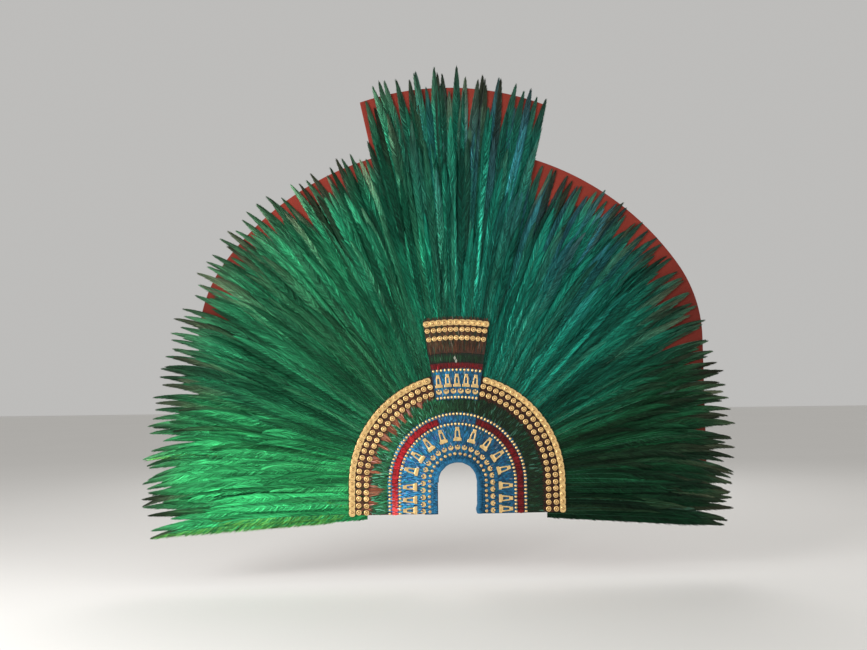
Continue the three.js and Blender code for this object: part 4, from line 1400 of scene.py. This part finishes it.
class HEADDRESS_OT_crown_feathers(bpy.types.Operator):
    """Builds the crown panel's brown, green, red and blue fields of short feathers"""

    bl_idname = "headdress.crown_feathers"
    bl_label = "Crown feathers"

    def execute(self, context):
        settings = settings_of(context).bands
        rng = np.random.default_rng(SEED + 202)
        blade = feather_master()
        for field in CROWN_FIELDS:
            right, left = getattr(settings, field["right"]), getattr(settings, field["left"])
            materials = [
                short_feather_material("crown_" + field["slot"], right, left, field["accents"]),
                backing_material("crown_netting_" + field["slot"], shade(right, 0.5)),
            ]
            heap = Heap()
            inner, outer, length = field["inner"], field["outer"], field["size"][0]
            netting(heap, ring_slab(
                inner, outer, BAND_Z, CROWN_TOP, legs=False, half=CROWN_HALF, centre_y=CROWN_Y, steps=16))
            rows = np.arange(inner + length * 0.45, outer - length * 0.30, field["step"])
            short_feathers(heap, rng, blade, crown_rows, rows, field["spacing"], field["size"],
                           CROWN_TOP - 0.0003, sway=0.10)
            if field["node"] == "crown_green_band":
                materials.append(backing_material("pale_quill", (0.30, 0.31, 0.25)))
                self.pale_quill(heap, blade)
            name = field["node"].replace("crown_", "crown_feathers_")
            heap.piece(name, materials, [field["node"]], field["slot"])
        return {"FINISHED"}

    def pale_quill(self, heap, blade):
        verts, tris, _ = blade
        lobe = (verts * [0.0036, 0.0115, 0.0022], tris, np.full(len(tris), 2))
        origins = np.array([(row["x"], row["y"], CROWN_TOP + 0.0018) for row in PALE_QUILL])
        rights = np.array([(math.cos(row["turn"]), math.sin(row["turn"]), 0) for row in PALE_QUILL])
        heap.stamp(lobe, origins, rights, np.cross(np.array([0.0, 0, 1]), rights))


# How far the pieces of gold lie over the bands' back, on the arch and on the crown.
GOLD_UP = {
    "discs": 0.0041, "small_discs": 0.0036, "edge": 0.0040, "domes": 0.0034, "moons": 0.0034,
    "plates": 0.0036,
}
CROWN_GOLD_UP = {"discs": 0.0078, "edge": 0.0075, "domes": 0.0073, "moons": 0.0075, "plates": 0.0075}
# Rows of gold: the node, its radius and how many pieces it has, or their pitch.
DISC_ROWS = [
    {"node": "disc_row_middle", "r": 0.295, "many": 24},
    {"node": "disc_row_inner", "r": 0.2725, "many": 23},
]
CROWN_DISC_ROWS = [
    {"node": "crown_disc_row_upper", "r": 0.6185, "many": 11},
    {"node": "crown_disc_row_lower", "r": 0.5930, "many": 11},
]
SMALL_DISC_ROW = {"node": "dome_row_inner", "r": 0.085, "many": 30}
DOME_ROWS = [
    {"node": "dome_row_outer", "r": 0.2035, "pitch": 0.0106},
    {"node": "dome_row_middle", "r": 0.1735, "pitch": 0.0106},
]
CROWN_DOME_ROWS = [
    {"node": "crown_dome_row_upper", "r": 0.4965, "many": 13},
    {"node": "crown_dome_row_lower", "r": 0.4145, "many": 12},
]
EDGE_ROW = {"r": 0.3148, "many": 24, "crown_r": 0.6395, "crown_many": 11}
MOON_ROW = {"r": 0.1045, "many": 25, "crown_r": 0.4335, "crown_many": 6}
# Stepped plates: their radius, directions from the top and heights on the legs, and the crown's radius and
# pitch.
PLATES = {
    "r": 0.1435, "degs": (0, 19, 38, 57, 75), "leg_ys": (0.0823, 0.0443, 0.0133),
    "crown_r": 0.465, "crown_pitch": 3.45, "crown_many": 5, "crown_scale": 0.92,
}


class HEADDRESS_OT_gold_discs(bpy.types.Operator):
    """Builds the rows of gold discs on the brown band and the crown, and the small row at the opening"""

    bl_idname = "headdress.gold_discs"
    bl_label = "Gold discs"

    def execute(self, context):
        settings = settings_of(context).gold
        materials = [gold_material(settings), sunk_shade_material(settings)]
        rng = np.random.default_rng(SEED + 303)
        master = disc_master(settings.disc)
        top = BAND_Z + GOLD_UP["discs"]
        for row in DISC_ROWS:
            r, many = row["r"], row["many"]
            last = ARCH_Y + math.pi / 2 * r
            while True:
                x, y, _, _ = arch_places(r, np.array([last]))
                if x[0] > crown_edge_x(y[0]) + settings.disc + 0.002:
                    break
                last -= 0.0005
            right = 0.010 + (last - 0.010) * np.arange(many) / (many - 1)
            for side, distances in (("right", right), ("left", arch_length(r) - right)):
                x, y, along, inward = arch_places(r, distances)
                self.row(row["node"] + "_" + side, materials, master, x, y, along, inward, top, rng)
        crown = disc_master(0.0078)
        top = BAND_Z + CROWN_GOLD_UP["discs"]
        for row in CROWN_DISC_ROWS:
            half = CROWN_HALF - 0.0091 / row["r"]
            x, y, along, down = crown_places(row["r"], np.linspace(-half, half, row["many"]))
            self.row(row["node"], materials, crown, x, y, -along, down, top, rng)
        small = disc_master(0.0046, steps=12)
        r, many = SMALL_DISC_ROW["r"], SMALL_DISC_ROW["many"]
        x, y, along, inward = arch_places(r, np.linspace(0.008, arch_length(r) - 0.008, many))
        top = BAND_Z + GOLD_UP["small_discs"]
        self.row(SMALL_DISC_ROW["node"], materials, small, x, y, along, inward, top, rng)
        return {"FINISHED"}

    def row(self, node, materials, master, x, y, along, inward, top, rng):
        """One row, each disc tipped and turned a little."""
        many = len(x)
        heap = Heap()
        tilt = rng.normal(0, 0.07, (many, 2))
        rights = unit(along + OUT * tilt[:, :1])
        ups = inward + OUT * tilt[:, 1:]
        ups = unit(ups - rights * (ups * rights).sum(1)[:, None])
        origins = np.stack([x, y, np.full(many, top)], 1) + rng.normal(0, 0.0004, (many, 3)) * [1, 1, 0]
        heap.stamp(master, origins, rights, ups)
        heap.piece("gold_" + node, materials, [node], "gold", smooth=True)


class HEADDRESS_OT_edge_plates(bpy.types.Operator):
    """Builds the lapped gold plates along the outer edge of the brown band and the crown"""

    bl_idname = "headdress.edge_plates"
    bl_label = "Lapped edge plates"

    def execute(self, context):
        settings = settings_of(context).gold
        materials = [gold_material(settings), sunk_shade_material(settings)]
        plate, boss = lap_plate_master(0.0255, 0.0180), disc_master(0.0066, steps=14)
        r = EDGE_ROW["r"]
        last = ARCH_Y + (math.pi / 2 - math.asin(0.0915 / r)) * r
        distances = np.linspace(0.0115, last, EDGE_ROW["many"])
        top = BAND_Z + GOLD_UP["edge"]
        for side, at in (("right", distances), ("left", arch_length(r) - distances)):
            x, y, along, inward = arch_places(r, at)
            self.row("edge_plates_" + side, materials, plate, boss, x, y, along, inward, top)
        r = EDGE_ROW["crown_r"]
        half = CROWN_HALF - 0.0098 / r
        x, y, along, down = crown_places(r, np.linspace(-half, half, EDGE_ROW["crown_many"]))
        small = lap_plate_master(0.0215, 0.0178)
        top = BAND_Z + CROWN_GOLD_UP["edge"]
        self.row("crown_edge_plates", materials, small, boss, x, y, -along, down, top)
        return {"FINISHED"}

    def row(self, node, materials, plate, boss, x, y, along, inward, top):
        heap = Heap()
        origins = np.stack([x, y, np.full(len(x), top)], 1)
        heap.stamp(plate, origins, along, inward)
        tilted = along + np.array([0, 0, 1.9 / 25.5])
        heap.stamp(boss, origins + [0, 0, 0.0021], unit(tilted), inward)
        heap.piece("gold_" + node, materials, [node], "gold")


class HEADDRESS_OT_dome_rows(bpy.types.Operator):
    """Builds the rows of small gold domes on either side of the red band and on the crown"""

    bl_idname = "headdress.dome_rows"
    bl_label = "Dome rows"

    def execute(self, context):
        settings = settings_of(context).gold
        materials = [gold_material(settings)]
        master = dome_master(settings.dome, stretch=1.24)
        top = BAND_Z + GOLD_UP["domes"]
        for row in DOME_ROWS:
            length = arch_length(row["r"])
            many = round((length - 0.010) / row["pitch"])
            x, y, along, inward = arch_places(row["r"], np.linspace(0.005, length - 0.005, many))
            self.row(row["node"], materials, master, x, y, along, inward, top)
        top = BAND_Z + CROWN_GOLD_UP["domes"]
        for row in CROWN_DOME_ROWS:
            half = CROWN_HALF - 0.0062 / row["r"]
            x, y, along, down = crown_places(row["r"], np.linspace(-half, half, row["many"]))
            self.row(row["node"], materials, master, x, y, -along, down, top)
        return {"FINISHED"}

    def row(self, node, materials, master, x, y, along, inward, top):
        heap = Heap()
        heap.stamp(master, np.stack([x, y, np.full(len(x), top)], 1), along, inward)
        heap.piece("gold_" + node, materials, [node], "gold", smooth=True)


class HEADDRESS_OT_crescents(bpy.types.Operator):
    """Builds the rows of gold half-moons on the arch and the crown"""

    bl_idname = "headdress.crescents"
    bl_label = "Crescents"

    def execute(self, context):
        settings = settings_of(context).gold
        materials = [gold_material(settings), sunk_shade_material(settings)]
        boss = dome_master(0.0027, stretch=1.1)
        r = MOON_ROW["r"]
        x, y, along, inward = arch_places(r, np.linspace(0.010, arch_length(r) - 0.010, MOON_ROW["many"]))
        top = BAND_Z + GOLD_UP["moons"]
        self.row("crescent_row", materials, crescent_master(0.0076), boss, x, y, along, inward, top)
        r = MOON_ROW["crown_r"]
        half = CROWN_HALF - 0.0125 / r
        x, y, along, down = crown_places(r, np.linspace(-half, half, MOON_ROW["crown_many"]))
        top = BAND_Z + CROWN_GOLD_UP["moons"]
        self.row("crown_crescent_row", materials, crescent_master(0.0082), boss, x, y, -along, down, top)
        return {"FINISHED"}

    def row(self, node, materials, master, boss, x, y, along, inward, top):
        heap = Heap()
        origins = np.stack([x, y, np.full(len(x), top)], 1)
        heap.stamp(master, origins, -along, -inward)
        heap.stamp(boss, origins - inward * 0.0045 + [0, 0, 0.0002], -along, -inward)
        heap.piece("gold_" + node, materials, [node], "gold")


class HEADDRESS_OT_stepped_plates(bpy.types.Operator):
    """Builds the stepped gold plates with their windows on the arch and the crown"""

    bl_idname = "headdress.stepped_plates"
    bl_label = "Stepped plates"

    def execute(self, context):
        settings = settings_of(context).gold
        materials = [gold_material(settings), sunk_shade_material(settings)]
        places, nodes = [], []
        r = PLATES["r"]
        for i, deg in enumerate(PLATES["degs"]):
            for sign, side in ((1, "right"), (-1, "left")) if deg else ((1, "top"),):
                angle = math.radians(90 - sign * deg)
                places.append((r * math.cos(angle), ARCH_Y + r * math.sin(angle), angle))
                nodes.append("stepped_plate_" + (side if side == "top" else f"{side}_{i}"))
        for i, y in enumerate(PLATES["leg_ys"], start=len(PLATES["degs"])):
            for x, side, angle in ((r, "right", 0.0), (-r, "left", math.pi)):
                places.append((x, y, angle))
                nodes.append(f"stepped_plate_{side}_{i}")
        top = BAND_Z + GOLD_UP["plates"]
        self.plates("gold_stepped_plates", materials, stepped_plate_master(), places, nodes, top)
        places, nodes = [], []
        r, many = PLATES["crown_r"], PLATES["crown_many"]
        for i in range(many):
            angle = math.radians(90 - (i - (many - 1) / 2) * PLATES["crown_pitch"])
            places.append((r * math.cos(angle), CROWN_Y + r * math.sin(angle), angle))
            nodes.append(f"crown_plate_{i + 1}")
        master = stepped_plate_master(PLATES["crown_scale"])
        top = BAND_Z + CROWN_GOLD_UP["plates"]
        self.plates("gold_crown_plates", materials, master, places, nodes, top)
        return {"FINISHED"}

    def plates(self, name, materials, master, places, nodes, top):
        heap = Heap()
        origins = np.array([(x, y, top) for x, y, _ in places])
        ups = np.array([(math.cos(a), math.sin(a), 0) for _, _, a in places])
        rights = np.array([(math.sin(a), -math.cos(a), 0) for _, _, a in places])
        heap.stamp(master, origins, rights, ups)
        heap.piece(name, materials, nodes, "gold")


CAMERA = {
    "place": (-0.257, -2.727, 0.3755), "lens": 37.37, "yaw": math.radians(4.0), "pitch": math.radians(4.0),
    "tilt": math.radians(-0.634),
}


class HEADDRESS_OT_stage(bpy.types.Operator):
    """Builds the plain floor, the soft lights and the camera"""

    bl_idname = "headdress.stage"
    bl_label = "Floor, lights and camera"

    def execute(self, context):
        settings = settings_of(context).stage
        scene = context.scene
        bm = bmesh.new()
        bmesh.ops.create_grid(bm, x_segments=2, y_segments=2, size=20)
        bmesh.ops.translate(bm, verts=bm.verts[:], vec=(0, 0, settings.floor_level))
        mesh = mesh_of("floor", bm)
        n = Nodes("floor_paint", Roughness=0.85)
        colour = n.ramp(n.noise(1.2, 2.0), [(0.3, shade(settings.floor, 0.985)), (0.7, settings.floor)])
        n.paint(colour)
        mesh.materials.append(n.material)
        floor = bpy.data.objects.new("floor", mesh)
        scene.collection.objects.link(floor)
        world = bpy.data.worlds.new("pale_room")
        world.use_nodes = True
        sky = world.node_tree.nodes["Background"].inputs
        sky["Color"].default_value = (0.93, 0.92, 0.90, 1)
        sky["Strength"].default_value = 0.55
        scene.world = world
        aim = Vector((0, 0, 0.5))
        for name, place, size, power in (
            ("key_light", (-2.3, -2.0, 1.0), 1.6, settings.key),
            ("fill_light", (2.8, -2.6, 1.6), 2.4, settings.fill),
            ("back_light", (0.6, 2.6, 2.4), 2.2, settings.fill),
        ):
            light = bpy.data.lights.new(name, "AREA")
            light.size = size
            light.energy = power
            lamp = bpy.data.objects.new(name, light)
            lamp.location = place
            lamp.rotation_euler = (aim - Vector(place)).to_track_quat("-Z", "Y").to_euler()
            scene.collection.objects.link(lamp)
        self.camera(scene)
        scene.view_settings.view_transform = "Standard"
        return {"FINISHED"}

    def camera(self, scene):
        """The photograph's view: a little to the left of the middle, low, and looking up a little."""
        yaw, pitch, tilt = CAMERA["yaw"], CAMERA["pitch"], CAMERA["tilt"]
        ahead = Vector((math.sin(yaw) * math.cos(pitch), math.cos(yaw) * math.cos(pitch), math.sin(pitch)))
        right = Vector((math.cos(yaw), -math.sin(yaw), 0))
        up = right.cross(ahead)
        turned_right = right * math.cos(tilt) + up * math.sin(tilt)
        turned_up = up * math.cos(tilt) - right * math.sin(tilt)
        data = bpy.data.cameras.new("camera")
        data.sensor_width = 36
        data.lens = CAMERA["lens"]
        data.clip_end = 100
        camera = bpy.data.objects.new("camera", data)
        axes = Matrix((turned_right, turned_up, -ahead)).transposed()
        camera.matrix_world = Matrix.Translation(CAMERA["place"]) @ axes.to_4x4()
        scene.collection.objects.link(camera)
        scene.camera = camera


class HEADDRESS_PT_panel(bpy.types.Panel):
    """Lists the headdress's sizes, colours and pieces"""

    bl_idname = "HEADDRESS_PT_panel"
    bl_label = "Feathered Headdress"
    bl_space_type = "VIEW_3D"
    bl_region_type = "UI"
    bl_category = "Headdress"

    def draw(self, context):
        headdress = settings_of(context)
        for group in (headdress.plumes, headdress.bands, headdress.gold, headdress.stage):
            box = self.layout.box()
            for name in group.__annotations__:
                box.prop(group, name)
        for operator in OPERATORS:
            self.layout.operator(operator.bl_idname)


SETTINGS = (
    HeaddressPlumeSettings, HeaddressBandSettings, HeaddressGoldSettings, HeaddressStageSettings, Headdress,
)
OPERATORS = (
    HEADDRESS_OT_board, HEADDRESS_OT_plumes, HEADDRESS_OT_feather_bands, HEADDRESS_OT_crown_feathers,
    HEADDRESS_OT_gold_discs, HEADDRESS_OT_edge_plates, HEADDRESS_OT_dome_rows, HEADDRESS_OT_crescents,
    HEADDRESS_OT_stepped_plates, HEADDRESS_OT_stage,
)


def register():
    for cls in (*SETTINGS, *OPERATORS, HEADDRESS_PT_panel):
        bpy.utils.register_class(cls)
    bpy.types.Scene.headdress = PointerProperty(type=Headdress)


def unregister():
    del bpy.types.Scene.headdress
    for cls in reversed((*SETTINGS, *OPERATORS, HEADDRESS_PT_panel)):
        bpy.utils.unregister_class(cls)


def main():
    register()
    for operator in OPERATORS:
        group, name = operator.bl_idname.split(".")
        getattr(getattr(bpy.ops, group), name)()


if __name__ == "__main__":
    main()
